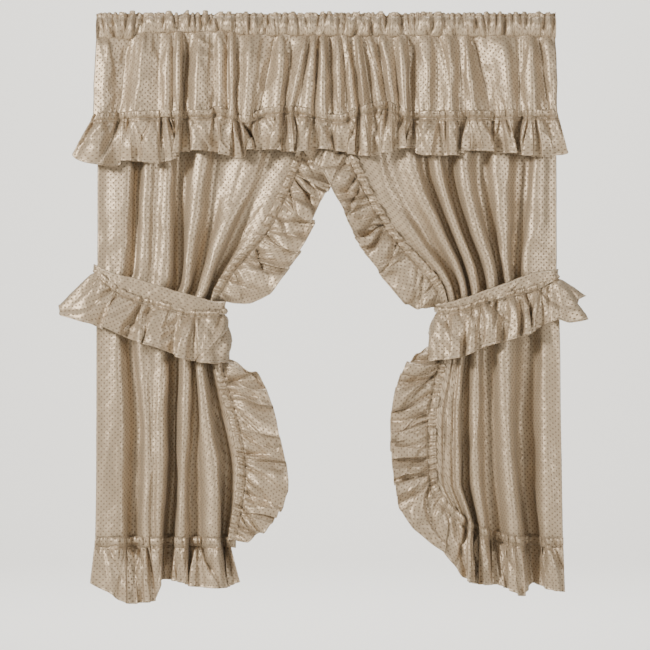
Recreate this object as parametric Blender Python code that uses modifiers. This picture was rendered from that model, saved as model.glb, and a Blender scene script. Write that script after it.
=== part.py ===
"""A ruffled curtain set as it hangs: one rod pocket carries a gathered valance and two panels,
each panel is looped back by a ruffled tie, and gathered strips edge all of them.

The front faces -Y and Z is up. The origin is the middle of the top edge.
"""

import math
import random
from collections import namedtuple

import bmesh
import bpy
import numpy as np

# Driving dimensions, in metres
DROP = 1.143                # top edge to the hem line
CLOTH = 0.0013              # built thickness of every cloth
EDGE_GAP = 0.0009           # clear space from a cloth's edge to the strip sewn on it
SLOPE_GAP = 0.0060          # what the gap grows by where an edge runs at 45 degrees or steeper
PINCH_GAP = 0.0014          # what the gap grows by where a tie turns the strip back
BEND_GAP = 0.00003          # what the gap grows by for each unit of an edge's bend, in m a (1/m)
SEAM_RIPPLE = 0.0010        # half height of the gathers where a strip is stitched down
HEADER = 0.0120             # frill that stands past the stitching of a gathered strip
GATHER_PITCH = 0.042        # one gather of a strip, along its stitching
PUFF = 0.004                # how far a gathered skirt bellies forward
FRILL_FLARE = 0.0014        # how far a header frill's edge stands forward
STITCH_PULL = 0.0008        # how far the stitching sinks behind it
LOOSE_SWING = 0.004         # gathers lower than this are pinched, and their frill lies flat

# Drafting grid: square cells, counted across from the centre line and down from the top edge
GRID_CELLS_IN_DROP = 588
GRID = DROP / GRID_CELLS_IN_DROP
MM = 0.001

HEADING_LEFT = -229.5
HEADING_RIGHT = 229.5
HEADING_COLUMNS = 44
FRILL_RIPPLE = 1.5          # half height in mm of the gathers at the frill
POCKET_RIPPLE = 3.4         # the same on the front of the pocket

TAUPE = (0.47, 0.38, 0.28, 1.0)
TAUPE_PALE = (0.56, 0.47, 0.36, 1.0)
TAUPE_DEEP = (0.40, 0.32, 0.23, 1.0)

# Seam under the pocket, which wavers: across, down
EdgePoint = namedtuple("EdgePoint", "across down")
SEAM_AT_CENTRE = 24.0
POCKET_SEAM = (
    EdgePoint(-230, 27.0),
    EdgePoint(-200, 27.5),
    EdgePoint(-184, 22.5),
    EdgePoint(-150, 21.0),
    EdgePoint(-128, 20.8),
    EdgePoint(-105, 19.6),
    EdgePoint(-80, 23.5),
    EdgePoint(0, SEAM_AT_CENTRE),
    EdgePoint(120, 24.5),
    EdgePoint(230, 25.0),
)

# Section of the pocket and its frill: depth in mm (front negative), share of the way down
PocketPoint = namedtuple("PocketPoint", "name depth share ripple")
POCKET = (
    PocketPoint("top", 0.0, 0.0, 0.0),
    PocketPoint("front of frill", -2.4, 0.10, -FRILL_RIPPLE),
    PocketPoint("front shoulder", -8.5, 0.30, -POCKET_RIPPLE),
    PocketPoint("front belly", -12.0, 0.56, -POCKET_RIPPLE),
    PocketPoint("front low", -9.0, 0.84, -FRILL_RIPPLE),
    PocketPoint("front seam", -5.5, 1.0, 0.0),
    PocketPoint("back seam", 9.0, 1.0, 0.0),
    PocketPoint("back low", 10.0, 0.82, 0.8),
    PocketPoint("back belly", 10.5, 0.54, 1.2),
    PocketPoint("back shoulder", 8.0, 0.28, 1.2),
    PocketPoint("back of frill", 2.4, 0.10, FRILL_RIPPLE),
)

# Levels of a panel: down at the inner and the outer edge, how late the line between them bends,
# depth factor of the folds, distance behind the rod in mm, how far one panel passes the other
# in mm, and the share of the lower depths
Level = namedtuple("Level", "name inner outer bend depth back cross lower")
LEFT_LEVELS = (
    Level("top", 24.25, 24.25, 1.0, 0.22, 7.5, 4.0, 0.0),
    Level("behind valance", 80, 80, 1.0, 0.75, 14, 9.0, 0.0),
    Level("under valance", 153, 153, 1.0, 1.0, 16, 9.0, 0.0),
    Level("waist", 214, 214, 1.0, 1.1, 16, 3.0, 0.0),
    Level("over tie", 280, 250, 1.0, 0.95, 16, 0.0, 0.0),
    Level("tie", 296, 259, 1.0, 0.9, 16, 0.0, 0.3),
    Level("under tie", 356, 318, 1.0, 0.95, 16, 0.0, 0.9),
    Level("low", 418, 418, 1.0, 1.15, 16, 0.0, 1.0),
    Level("knee", 458, 458, 1.0, 1.25, 16, 0.0, 1.0),
    Level("hem", 528, 528, 1.0, 1.3, 16, 0.0, 1.0),
)
RIGHT_LEVELS = (
    Level("top", 24.0, 24.0, 1.0, 0.22, 7.5, -4.0, 0.0),
    Level("behind valance", 80, 80, 1.0, 0.75, 14, -9.0, 0.0),
    Level("under valance", 153, 153, 1.0, 1.0, 16, -11.0, 0.0),
    Level("waist", 216, 216, 1.0, 1.1, 16, -4.0, 0.0),
    Level("over tie", 281, 250, 1.0, 0.95, 16, 0.0, 0.0),
    Level("tie", 298, 263, 1.0, 0.9, 16, 0.0, 0.3),
    Level("under tie", 350, 318, 1.0, 0.95, 16, 0.0, 0.9),
    Level("low", 413, 413, 1.0, 1.15, 16, 0.0, 1.0),
    Level("knee", 470, 473, 1.0, 1.25, 16, 0.0, 1.0),
    Level("hem", 495, 528, 3.5, 1.3, 16, 0.0, 1.0),
)

# Crests of a panel's folds from its outer to its inner edge: depth in mm over and under the tie
# (ridges negative), then the place across at each level
Crest = namedtuple(
    "Crest", "name upper lower top behind under waist over_tie tie under_tie low knee hem")
LEFT_CRESTS = (
    Crest("outer edge", -3, -8, -229, -229, -229, -229, -229, -229, -230, -230, -230, -231),
    Crest("ridge 1", -10, -10, -198, -199, -200, -202, -205, -208, -210, -208, -208, -208),
    Crest("valley 1", 14, 12, -183, -187, -189, -191, -194, -197, -198, -190, -192, -193),
    Crest("ridge 2", -14, -14, -168, -174, -179, -181, -183, -186, -185, -179, -178, -179),
    Crest("valley 2", -4, -9, -155, -162, -168, -171, -174, -177, -175, -173, -173, -173),
    Crest("ridge 3", -14, -14, -141, -151, -159, -161, -164, -167, -164, -166, -166, -168),
    Crest("valley 3", 20, 24, -124, -135, -146, -148, -150, -154, -151, -152, -153, -159),
    Crest("ridge 4", -18, -18, -100, -113, -126, -135, -141, -145, -141, -143, -144, -145),
    Crest("valley 4", 14, 4, -76, -93, -109, -117, -131, -136, -131, -132, -135, -134),
    Crest("ridge 5", -21, -22, -38, -56, -75, -101, -123, -128, -126, -118, -112, -109),
    Crest("valley 5", 16, 14, -18, -37, -58, -86, -117, -122, -118, -105, -99, -103),
    Crest("inner edge", -2, -6, 13, -9, -34, -63, -112, -116, -110, -93, -87, -97),
)
RIGHT_CRESTS = (
    Crest("outer edge", -3, -12, 229, 230, 231, 231, 231, 231, 234, 235, 236, 237),
    Crest("ridge 1", -15, -14, 213, 212, 211, 207, 203, 204, 220, 222, 222, 223),
    Crest("valley 1", 16, 24, 202, 200, 198, 193, 191, 193, 208, 198, 198, 206),
    Crest("ridge 2", -16, -20, 182, 176, 171, 176, 181, 183, 179, 181, 185, 190),
    Crest("valley 2", 14, 12, 164, 159, 154, 163, 174, 175, 161, 163, 164, 168),
    Crest("ridge 3", -22, -12, 144, 140, 137, 151, 166, 167, 151, 150, 151, 157),
    Crest("valley 3", 14, 14, 126, 125, 124, 139, 157, 159, 142, 137, 138, 150),
    Crest("ridge 4", -14, -14, 110, 111, 113, 131, 149, 151, 136, 131, 132, 145),
    Crest("valley 4", 16, -2, 92, 96, 100, 121, 143, 145, 132, 127, 128, 140),
    Crest("ridge 5", -18, -5, 74, 79, 86, 112, 137, 139, 129, 122, 123, 136),
    Crest("valley 5", 12, -2, 52, 60, 68, 97, 131, 133, 126, 118, 119, 132),
    Crest("ridge 6", -12, -5, 28, 39, 51, 83, 125, 128, 123, 114, 115, 128),
    Crest("inner edge", 0, -4, -13, 9, 33, 67, 119, 122, 119, 109, 110, 124),
)

# Crests of the valance: depth in mm, place across under the pocket and at the lower edge
Pleat = namedtuple("Pleat", "depth top low")
VALANCE_PLEATS = (
    Pleat(0, -229, -232), Pleat(-6, -218, -221), Pleat(9, -198, -206), Pleat(-8, -182, -188),
    Pleat(5, -166, -168), Pleat(-6, -157, -159), Pleat(3, -152, -153), Pleat(-7, -147, -147),
    Pleat(11, -142, -142), Pleat(-8, -127, -129), Pleat(6, -112, -112), Pleat(-4, -105, -105),
    Pleat(4, -98, -98), Pleat(-7, -94, -94), Pleat(5, -90, -90), Pleat(-10, -76, -79),
    Pleat(9, -50, -66), Pleat(-6, -43, -48), Pleat(7, -34, -42), Pleat(-8, -19, -35),
    Pleat(3, -15, -28), Pleat(-6, -11, -18), Pleat(5, -7, -12), Pleat(-7, -3, -3),
    Pleat(6, 3, 6), Pleat(-6, 11, 14), Pleat(4, 15, 22), Pleat(-5, 20, 28),
    Pleat(4, 25, 33), Pleat(-10, 31, 38), Pleat(6, 35, 46), Pleat(-4, 43, 54),
    Pleat(6, 50, 61), Pleat(-6, 57, 67), Pleat(5, 67, 73), Pleat(-6, 75, 79),
    Pleat(11, 83, 85), Pleat(-5, 101, 102), Pleat(5, 111, 111), Pleat(-9, 123, 124),
    Pleat(6, 131, 137), Pleat(-6, 139, 147), Pleat(12, 146, 165), Pleat(-9, 177, 183),
    Pleat(5, 192, 192), Pleat(-8, 204, 206), Pleat(6, 213, 221), Pleat(-4, 221, 226),
    Pleat(0, 229, 230),
)

# Levels of the valance: down, depth factor, distance from the rod plane in mm
ValanceLevel = namedtuple("ValanceLevel", "down depth back")
VALANCE_LEVELS = (
    ValanceLevel(24.05, 0.22, -8.0),
    ValanceLevel(33, 0.75, -13.0),
    ValanceLevel(50, 1.0, -18.5),
    ValanceLevel(78, 1.0, -22.5),
    ValanceLevel(101, 0.8, -24.5),
)

# Lower edge of the valance, where its ruffle's header starts, and the ruffle's own rim
RimPoint = namedtuple("RimPoint", "at rim_across rim_down back swing")
VALANCE_EDGE = (
    EdgePoint(-232, 104), EdgePoint(-180, 101), EdgePoint(-117, 100), EdgePoint(-109, 96),
    EdgePoint(-96, 100), EdgePoint(-79, 107), EdgePoint(-64, 99), EdgePoint(-40, 96),
    EdgePoint(-20, 98), EdgePoint(14, 105), EdgePoint(28, 100), EdgePoint(57, 91),
    EdgePoint(84, 101), EdgePoint(230, 100),
)
VALANCE_RIM = (
    RimPoint(-232, -251, 143, -4, 7), RimPoint(-222, -231, 153, -4, 9),
    RimPoint(-212, -212, 155, -2, 8), RimPoint(-202, -203, 149, 2, 7),
    RimPoint(-186, -186, 150, -3, 9), RimPoint(-170, -169, 152, -3, 8),
    RimPoint(-156, -154, 148, 2, 8), RimPoint(-143, -143, 140, 4, 7),
    RimPoint(-121, -119, 139, -2, 9), RimPoint(-101, -100, 143, -4, 9),
    RimPoint(-88, -85, 147, 0, 8), RimPoint(-80, -79, 138, 4, 6),
    RimPoint(-54, -55, 138, -2, 8), RimPoint(-28, -28, 141, -2, 9),
    RimPoint(-10, -9, 137, 3, 8), RimPoint(10, 10, 139, -2, 8),
    RimPoint(40, 41, 145, -3, 9), RimPoint(66, 66, 139, 2, 8),
    RimPoint(86, 88, 136, 2, 8), RimPoint(98, 99, 144, -3, 9),
    RimPoint(130, 132, 144, -3, 9), RimPoint(143, 144, 139, 3, 8),
    RimPoint(182, 184, 142, -2, 9), RimPoint(218, 220, 146, -4, 9),
    RimPoint(230, 243, 141, -3, 7),
)

# Side ruffles: the place down the panel's inner edge, then the rim across and down in cells,
# the rim's set-back and the height of its gathers in mm
LEFT_SIDE_RIM = (
    RimPoint(24.25, 56, 25.5, 2, 1.5), RimPoint(80, 50, 92, 0, 4),
    RimPoint(130, 28, 148, 0, 6), RimPoint(153, 10, 168, 0, 7),
    RimPoint(178, -5, 188, -2, 9), RimPoint(209, -15, 219, -3, 11),
    RimPoint(228, -23, 236, -3, 11), RimPoint(259, -44, 267, -3, 11),
    RimPoint(270, -58, 284, -2, 8), RimPoint(277, -76, 291, 0, 5),
    RimPoint(282, -91, 286, 6, 2), RimPoint(286, -103, 281, 12, 1.2),
    RimPoint(290, -112, 286, 16, 1.0), RimPoint(296, -112, 297, 18, 1.0),
    RimPoint(326, -111, 326, 18, 1.0), RimPoint(338, -108, 337, 13, 1.5),
    RimPoint(348, -99, 345, 6, 3), RimPoint(357, -87, 351, 0, 6),
    RimPoint(368, -70, 360, -3, 9), RimPoint(380, -61, 374, -3, 10),
    RimPoint(398, -52, 398, -3, 11), RimPoint(432, -43, 438, -3, 11),
    RimPoint(458, -37, 470, -3, 11), RimPoint(480, -43, 495, -3, 11),
    RimPoint(506, -60, 514, -3, 10), RimPoint(528, -76, 528, -4, 7),
)
RIGHT_SIDE_RIM = (
    RimPoint(24.0, -56, 25.5, 2, 1.5), RimPoint(80, -44, 92, 0, 4),
    RimPoint(130, -20, 143, 0, 5), RimPoint(153, -3, 160, 0, 6),
    RimPoint(173, 7, 179, -2, 8), RimPoint(193, 18, 199, -3, 10),
    RimPoint(226, 34, 234, -3, 11), RimPoint(251, 57, 266, -3, 11),
    RimPoint(261, 68, 280, -2, 9), RimPoint(268, 79, 291, 0, 6),
    RimPoint(275, 93, 295, 2, 4), RimPoint(281, 103, 288, 8, 2),
    RimPoint(286, 113, 283, 13, 1.2), RimPoint(291, 120, 288, 16, 1.0),
    RimPoint(298, 120, 299, 17, 1.0), RimPoint(316, 119, 315, 17, 1.0),
    RimPoint(328, 115, 326, 15, 1.3), RimPoint(338, 107, 333, 8, 2.5),
    RimPoint(347, 94, 341, 0, 6), RimPoint(358, 82, 350, -3, 9),
    RimPoint(372, 73, 366, -3, 10), RimPoint(392, 66, 390, -3, 11),
    RimPoint(424, 64, 426, -3, 11), RimPoint(452, 67, 462, -3, 11),
    RimPoint(472, 72, 492, -3, 11), RimPoint(484, 84, 512, -3, 9),
    RimPoint(490, 97, 524, -3, 7), RimPoint(495, 112, 531, -4, 5),
)

# Hem ruffles: the place across the panel's lower edge, then the rim
LEFT_HEM_RIM = (
    RimPoint(-231, -236, 571, -4, 4), RimPoint(-214, -214, 583, -5, 5),
    RimPoint(-196, -196, 592, -5, 6), RimPoint(-176, -172, 589, -5, 6),
    RimPoint(-162, -163, 568, 0, 4), RimPoint(-148, -147, 570, -5, 5),
    RimPoint(-128, -128, 575, -5, 6), RimPoint(-108, -102, 576, -6, 5),
    RimPoint(-97, -86, 570, -2, 4),
)
RIGHT_HEM_RIM = (
    RimPoint(124, 119, 538, -3, 3), RimPoint(132, 128, 553, -4, 4),
    RimPoint(142, 140, 567, -5, 5), RimPoint(154, 156, 573, -5, 6),
    RimPoint(167, 170, 573, -4, 5), RimPoint(180, 184, 578, -5, 6),
    RimPoint(192, 196, 584, -5, 6), RimPoint(206, 208, 572, 0, 2.5),
    RimPoint(222, 225, 578, -5, 6), RimPoint(237, 239, 580, -5, 4),
)

# Ties: the band's front run from the outer hook end to the inner turn
BandPoint = namedtuple("BandPoint", "across upper lower")
LEFT_BAND = (
    BandPoint(-232, 252, 260), BandPoint(-211, 261, 278), BandPoint(-186, 267, 290),
    BandPoint(-163, 275, 295), BandPoint(-129, 285, 304), BandPoint(-112, 289, 304),
    BandPoint(-102, 289, 302),
)
RIGHT_BAND = (
    BandPoint(232.2, 257, 266), BandPoint(209, 260, 278), BandPoint(186, 268, 284),
    BandPoint(161, 278, 290), BandPoint(136, 287, 299), BandPoint(119, 291, 301),
    BandPoint(111, 292, 300),
)
BAND_FRONT = -7.0           # mm, middle of the front run
BAND_BACK = 41.5            # mm, middle of the back run
BAND_SQUARENESS = 0.55      # 1 is an ellipse, 0 a rectangle
BAND_COLUMNS = 36
STEPS_A_FOLD = 3            # columns of points from a panel's ridge to the next valley
ALL_WIDTHS = (-1.0, 0.0, 0.5, 1.0)      # places across a strip where its points lie
PANEL_STEPS = (2, 1, 3, 3, 1, 2, 2, 2, 4)   # rows of points from each level to the next

# Ties' ruffles: the share of the way round the loop from the hook, then the rim from the stitching
TieRim = namedtuple("TieRim", "at over down out swing")
LEFT_TIE_RIM = (
    TieRim(0.02, -33, 33, 3, 4), TieRim(0.06, -30, 42, 6, 7), TieRim(0.12, -14, 42, 9, 8),
    TieRim(0.20, -10, 36, 9, 8), TieRim(0.30, -6, 44, 9, 8), TieRim(0.40, -2, 48, 9, 8),
    TieRim(0.455, 3, 47, 8, 6), TieRim(0.50, 3, 28, 4, 3), TieRim(0.56, 0, 20, 4, 3),
    TieRim(0.75, 0, 32, 7, 5), TieRim(0.92, 3, 36, 7, 5),
)
RIGHT_TIE_RIM = (
    TieRim(0.02, 26, 18, 3, 4), TieRim(0.05, 24, 38, 6, 7), TieRim(0.11, 10, 34, 9, 8),
    TieRim(0.20, -2, 42, 9, 8), TieRim(0.30, -2, 46, 9, 8), TieRim(0.40, 1, 47, 9, 8),
    TieRim(0.455, -2, 49, 8, 6), TieRim(0.50, -3, 22, 4, 3), TieRim(0.56, 0, 16, 4, 3),
    TieRim(0.75, 0, 30, 7, 5), TieRim(0.92, -3, 34, 7, 5),
)


def smooth(stations, values, at):
    """Values at the given stations, by cubic pieces through a table that never overshoot it."""
    stations = np.asarray(stations, dtype=float)
    values = np.asarray(values, dtype=float)
    at = np.clip(np.asarray(at, dtype=float), stations[0], stations[-1])
    run = np.diff(stations)
    rise = np.diff(values) / run
    slope = np.zeros(len(stations))
    slope[0], slope[-1] = rise[0], rise[-1]
    for k in range(1, len(stations) - 1):
        if rise[k - 1] * rise[k] > 0:
            slope[k] = 2 * rise[k - 1] * rise[k] / (rise[k - 1] + rise[k])
    k = np.clip(np.searchsorted(stations, at, side="right") - 1, 0, len(run) - 1)
    t = (at - stations[k]) / run[k]
    rest = 1 - t
    return (values[k] * (1 + 2 * t) * rest ** 2 + slope[k] * run[k] * t * rest ** 2
            + values[k + 1] * t ** 2 * (3 - 2 * t) - slope[k + 1] * run[k] * t ** 2 * rest)


def ease(share):
    """Zero to one with no slope at either end."""
    share = np.clip(share, 0, 1)
    return share * share * (3 - 2 * share)


def pocket_seam(across):
    """How far down the seam under the pocket lies, in grid cells."""
    return smooth([p.across for p in POCKET_SEAM], [p.down for p in POCKET_SEAM], across)


def wrap(crest_x, crest_y, columns):
    """Cross-sections through rows of crests, round at each crest and steep between them.

    crest_x and crest_y hold one row for each crest and one column for each level.
    """
    first = np.clip(np.floor(columns).astype(int), 0, len(crest_x) - 2)
    t = (columns - first)[:, None]
    span_x = crest_x[first + 1] - crest_x[first]
    span_y = crest_y[first + 1] - crest_y[first]
    steep = np.clip(0.55 * np.abs(span_y) / np.maximum(np.abs(span_x), 1e-6), 0, 1.05)
    x = crest_x[first] + span_x * (t + steep * np.sin(2 * math.pi * t) / (2 * math.pi))
    y = crest_y[first] + span_y * (0.5 - 0.5 * np.cos(math.pi * t))
    return x, y


class Panel:
    """A panel whose folds run from the pocket, through the tie, to the hem."""

    def __init__(self, levels, crests):
        self.levels = levels
        self.crests = crests
        self.last = len(crests) - 1
        self.top = levels[0].inner
        self.hem = levels[-1].inner

    def column(self, name, down):
        """A column of the level table at each place down."""
        return smooth([level.inner for level in self.levels],
                      [getattr(level, name) for level in self.levels], down)

    def surface(self, columns, down):
        """Points of the middle of the cloth, in metres, for crest numbers and places down."""
        columns = np.asarray(columns, dtype=float)
        down = np.asarray(down, dtype=float)
        stations = [level.inner for level in self.levels]
        crest_x = np.array([smooth(stations, crest[3:], down) for crest in self.crests])
        lower = self.column("lower", down)
        upper_depth = np.array([crest.upper for crest in self.crests])[:, None]
        lower_depth = np.array([crest.lower for crest in self.crests])[:, None]
        depth = upper_depth * (1 - lower) + lower_depth * lower
        inner_third = ease((np.arange(len(self.crests)) - self.last + 4.5) / 3)[:, None]
        cross = self.column("cross", down) * inner_third
        calm = 1 - 0.65 * inner_third * ease(np.abs(self.column("cross", down)) / 8)
        crest_y = (depth * self.column("depth", down) * calm + self.column("back", down) + cross) * MM
        crest_x = crest_x * GRID
        x, y = wrap(crest_x, crest_y, columns)
        share = (crest_x - crest_x[0]) / (crest_x[-1] - crest_x[0])
        inward, _ = wrap(share, share, columns)
        outer = self.column("outer", down)
        z = outer + (down - outer) * np.clip(inward, 0, 1) ** self.column("bend", down)
        waver = (pocket_seam(x / GRID) - SEAM_AT_CENTRE) * ease(1 - (down - self.top) / 60)
        return np.stack([x, y, -(z + waver) * GRID], axis=-1)


class Valance:
    """The gathered cloth below the pocket, down to the stitching of its ruffle."""

    last = len(VALANCE_PLEATS) - 1

    def surface(self, columns, down):
        """Points of the middle of the cloth, in metres; down runs from the pocket's seam."""
        columns = np.asarray(columns, dtype=float)
        down = np.asarray(down, dtype=float)
        stations = [level.down for level in VALANCE_LEVELS]
        share = (down - stations[0]) / (stations[-1] - stations[0])
        top = np.array([pleat.top for pleat in VALANCE_PLEATS])[:, None]
        low = np.array([pleat.low for pleat in VALANCE_PLEATS])[:, None]
        depth = np.array([pleat.depth for pleat in VALANCE_PLEATS])[:, None]
        factor = smooth(stations, [level.depth for level in VALANCE_LEVELS], down)
        back = smooth(stations, [level.back for level in VALANCE_LEVELS], down)
        x, y = wrap((top + (low - top) * share) * GRID, (depth * factor + back) * MM, columns)
        across = x / GRID
        upper = pocket_seam(across) + stations[0] - SEAM_AT_CENTRE
        lower = smooth([p.across for p in VALANCE_EDGE], [p.down for p in VALANCE_EDGE], across)
        z = upper + (lower - upper) * share
        return np.stack([x, y, -z * GRID], axis=-1)


class TieBand:
    """A plain band looped round a gathered panel, slanting down to its inner turn."""

    def __init__(self, rows):
        self.rows = rows

    def surface(self, shares, edges):
        """Points for shares of the way round from the hook, and 0 upper to 1 lower edge."""
        angle = 2 * math.pi * np.asarray(shares, dtype=float)
        outer, inner = self.rows[0].across, self.rows[-1].across
        cosine, sine = np.cos(angle), np.sin(angle)
        sign = 1 if inner > outer else -1
        x = 0.5 * (outer + inner) - sign * 0.5 * abs(inner - outer) * (
            np.sign(cosine) * np.abs(cosine) ** BAND_SQUARENESS)
        y = (0.5 * (BAND_FRONT + BAND_BACK) - 0.5 * (BAND_BACK - BAND_FRONT)
             * np.sign(sine) * np.abs(sine) ** BAND_SQUARENESS)
        rows = sorted(self.rows, key=lambda row: row.across)
        stations = [row.across for row in rows]
        upper = smooth(stations, [row.upper for row in rows], x)
        lower = smooth(stations, [row.lower for row in rows], x)
        z = upper[:, None] + (lower - upper)[:, None] * np.asarray(edges, dtype=float)[None, :]
        x = np.repeat(x[:, None] * GRID, z.shape[1], axis=1)
        y = np.repeat(y[:, None] * MM, z.shape[1], axis=1)
        return np.stack([x, y, -z * GRID], axis=-1)


class Gathers:
    """Uneven gathers along a strip: where each starts, and how high it stands."""

    def __init__(self, length, seed, pitch=GATHER_PITCH):
        draw = random.Random(seed)
        self.count = max(2, round(length / pitch))
        widths = [draw.uniform(0.72, 1.3) for _ in range(self.count)]
        edges = np.concatenate([[0.0], np.cumsum(widths)])
        self.edges = edges / edges[-1]
        self.heights = [draw.uniform(0.75, 1.15) for _ in range(self.count + 1)]

    def along(self, gathers):
        """Share of the strip's length at a number of gathers."""
        return smooth(np.arange(self.count + 1), self.edges, gathers)

    def height(self, gathers):
        """Height factor at a number of gathers."""
        return smooth(np.arange(self.count + 1), self.heights, gathers)


class Strip:
    """A gathered strip that starts at its host's edge: a header frill, the stitching, a skirt."""

    def __init__(self, edge, gap, reach, swing, normal, tangent, header, lean, seed):
        """Arrays run along the host's edge; reach goes from the edge to the strip's rim."""
        self.edge = edge
        self.gap = gap
        self.reach = reach
        self.swing = swing
        self.normal = normal
        self.tangent = tangent
        self.header = header
        self.lean = lean
        steps = np.linalg.norm(np.diff(edge, axis=0), axis=1)
        self.arc = np.concatenate([[0.0], np.cumsum(steps)])
        self.gathers = Gathers(self.arc[-1], seed)

    def sample(self, values, place):
        """Values at places along the edge, for one number or a vector a point."""
        if values.ndim == 1:
            return np.interp(place, self.arc, values)
        return np.stack([np.interp(place, self.arc, values[:, k]) for k in range(3)], axis=-1)

    def surface(self, gathers, widths):
        """Points for numbers of gathers and shares of the width, -1 edge, 0 stitching, 1 rim."""
        gathers = np.asarray(gathers, dtype=float)
        place = self.gathers.along(gathers) * self.arc[-1]
        reach = self.sample(self.reach, place)
        gap = self.sample(self.gap, place)[:, None]
        start = self.sample(self.edge, place) + unit(reach) * gap
        stitch = start + unit(reach) * self.header
        skirt = reach - unit(reach) * (self.header + gap)
        normal = unit(self.sample(self.normal, place))
        tangent = unit(self.sample(self.tangent, place))
        swing = self.sample(self.swing, place) * self.gathers.height(gathers)
        loose = np.minimum(swing / LOOSE_SWING, 1)
        wave = np.sin(2 * math.pi * gathers)
        lean = np.sin(4 * math.pi * gathers)
        points = []
        for width in widths:
            if width < 0:
                base = stitch + (start - stitch) * -width
                rise = SEAM_RIPPLE * (1 - 0.6 * width) * wave - FRILL_FLARE * width * loose
                points.append(base + normal * rise[:, None])
                continue
            height = SEAM_RIPPLE + (swing - SEAM_RIPPLE) * width ** 0.9
            belly = math.sin(math.pi * width) * np.minimum(PUFF, swing * 0.6)
            belly = belly - STITCH_PULL * (1 - width) * (self.header > 0)
            points.append(stitch + skirt * width + normal * (height * wave + belly)[:, None]
                          - tangent * (self.lean * height * lean)[:, None])
        return np.stack(points, axis=1)


def unit(vectors):
    """The vectors at length one."""
    return vectors / np.maximum(np.linalg.norm(vectors, axis=-1, keepdims=True), 1e-9)


def along(vector, count):
    """The same vector for each of a number of points."""
    return np.tile(np.array(vector, dtype=float), (count, 1))


def rim_reach(rows, keys, edge):
    """Vectors from a host's edge to the rim, and swings, from a rim table read at the keys."""
    at = [row.at for row in rows]
    rim_x = smooth(at, [row.rim_across for row in rows], keys) * GRID
    rim_z = -smooth(at, [row.rim_down for row in rows], keys) * GRID
    back = smooth(at, [row.back for row in rows], keys) * MM
    swing = smooth(at, [row.swing for row in rows], keys) * MM
    return np.stack([rim_x - edge[:, 0], back, rim_z - edge[:, 2]], axis=-1), swing


def facet(coarse, stations, dense):
    """Points on the straight runs between a host's own edge points."""
    return np.stack([np.interp(dense, stations, coarse[:, k]) for k in range(3)], axis=-1)


def side_strip(panel, rows, panel_down, inward, seed):
    """The ruffle down a panel's inner edge, turned back where the tie pinches it."""
    down = np.linspace(panel.top, panel.hem, 400)
    edge = facet(panel.surface([panel.last], panel_down)[0], panel_down, down)
    reach, swing = rim_reach(rows, down, edge)
    smooth_edge = panel.surface([panel.last], down)[0]
    tangent = unit(np.gradient(smooth_edge, axis=0))
    normal = unit(np.cross(reach, tangent))
    front = along((inward * 0.7, -0.7, 0.0), len(edge))
    normal = normal * np.where(np.sum(normal * front, axis=1) < 0, -1, 1)[:, None]
    step = np.linalg.norm(np.gradient(smooth_edge, axis=0), axis=1)
    bend = np.linalg.norm(np.gradient(tangent, axis=0), axis=1) / step
    gap = EDGE_GAP + PINCH_GAP * ease(reach[:, 1] / 0.010) + BEND_GAP * spread(bend)
    return Strip(edge, gap, reach, swing, normal, tangent, HEADER, 0.30, seed)


def lower_strip(host_edge, host_across, rows, flatten, seed):
    """The ruffle along a lower edge; its rim opens the host's folds and keeps part of them.

    host_across tells the place across of each edge point if the folds were opened out.
    """
    stations = np.arange(len(host_edge))
    dense = np.linspace(0, stations[-1], 800)
    edge = facet(host_edge, stations, dense)
    reach, swing = rim_reach(rows, np.interp(dense, stations, host_across), edge)
    reach[:, 1] += flatten * (edge[:, 1].mean() - edge[:, 1])
    gap = EDGE_GAP + SLOPE_GAP * np.minimum(steepness(edge), 1)
    normal = along((0, -1, 0), len(edge))
    tangent = along((1, 0, 0), len(edge))
    return Strip(edge, gap, reach, swing, normal, tangent, HEADER, 0.08, seed)


def steepness(edge):
    """How steeply an edge climbs or falls, as a share of its length, smoothed a little."""
    step = np.gradient(edge, axis=0)
    return spread(np.abs(step[:, 2]) / np.maximum(np.linalg.norm(step, axis=1), 1e-9))


def spread(values):
    """Values averaged with their neighbours."""
    kernel = np.ones(15) / 15
    return np.convolve(np.pad(values, 7, mode="edge"), kernel, mode="valid")


def tie_strip(band_edge, band_shares, rows, seed):
    """The ruffle under a tie band, from the hook round the panel and nearly back to it."""
    shares = np.linspace(rows[0].at, rows[-1].at, 500)
    edge = facet(band_edge, band_shares, shares)
    tangent = np.gradient(edge, axis=0)
    out = unit(np.stack([tangent[:, 1], -tangent[:, 0], np.zeros(len(edge))], axis=-1))
    outward = edge - edge.mean(axis=0)
    out = out * np.where(np.sum(out[:, :2] * outward[:, :2], axis=1) < 0, -1, 1)[:, None]
    at = [row.at for row in rows]
    over = smooth(at, [row.over for row in rows], shares) * GRID
    down = smooth(at, [row.down for row in rows], shares) * GRID
    flare = smooth(at, [row.out for row in rows], shares) * MM
    swing = smooth(at, [row.swing for row in rows], shares) * MM
    reach = np.stack([over, np.zeros(len(over)), -down], axis=-1) + out * flare[:, None]
    gap = EDGE_GAP + 0.5 * SLOPE_GAP * steepness(edge)
    return Strip(edge, gap, reach, swing, out, unit(tangent), 0.0, 0.15, seed)


def cloth_material(name, colour):
    """A soft satin cloth."""
    material = bpy.data.materials.new(name)
    material.use_nodes = True
    shader = material.node_tree.nodes["Principled BSDF"]
    shader.inputs["Base Color"].default_value = colour
    shader.inputs["Roughness"].default_value = 0.45
    shader.inputs["Metallic"].default_value = 0.0
    return material


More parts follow.
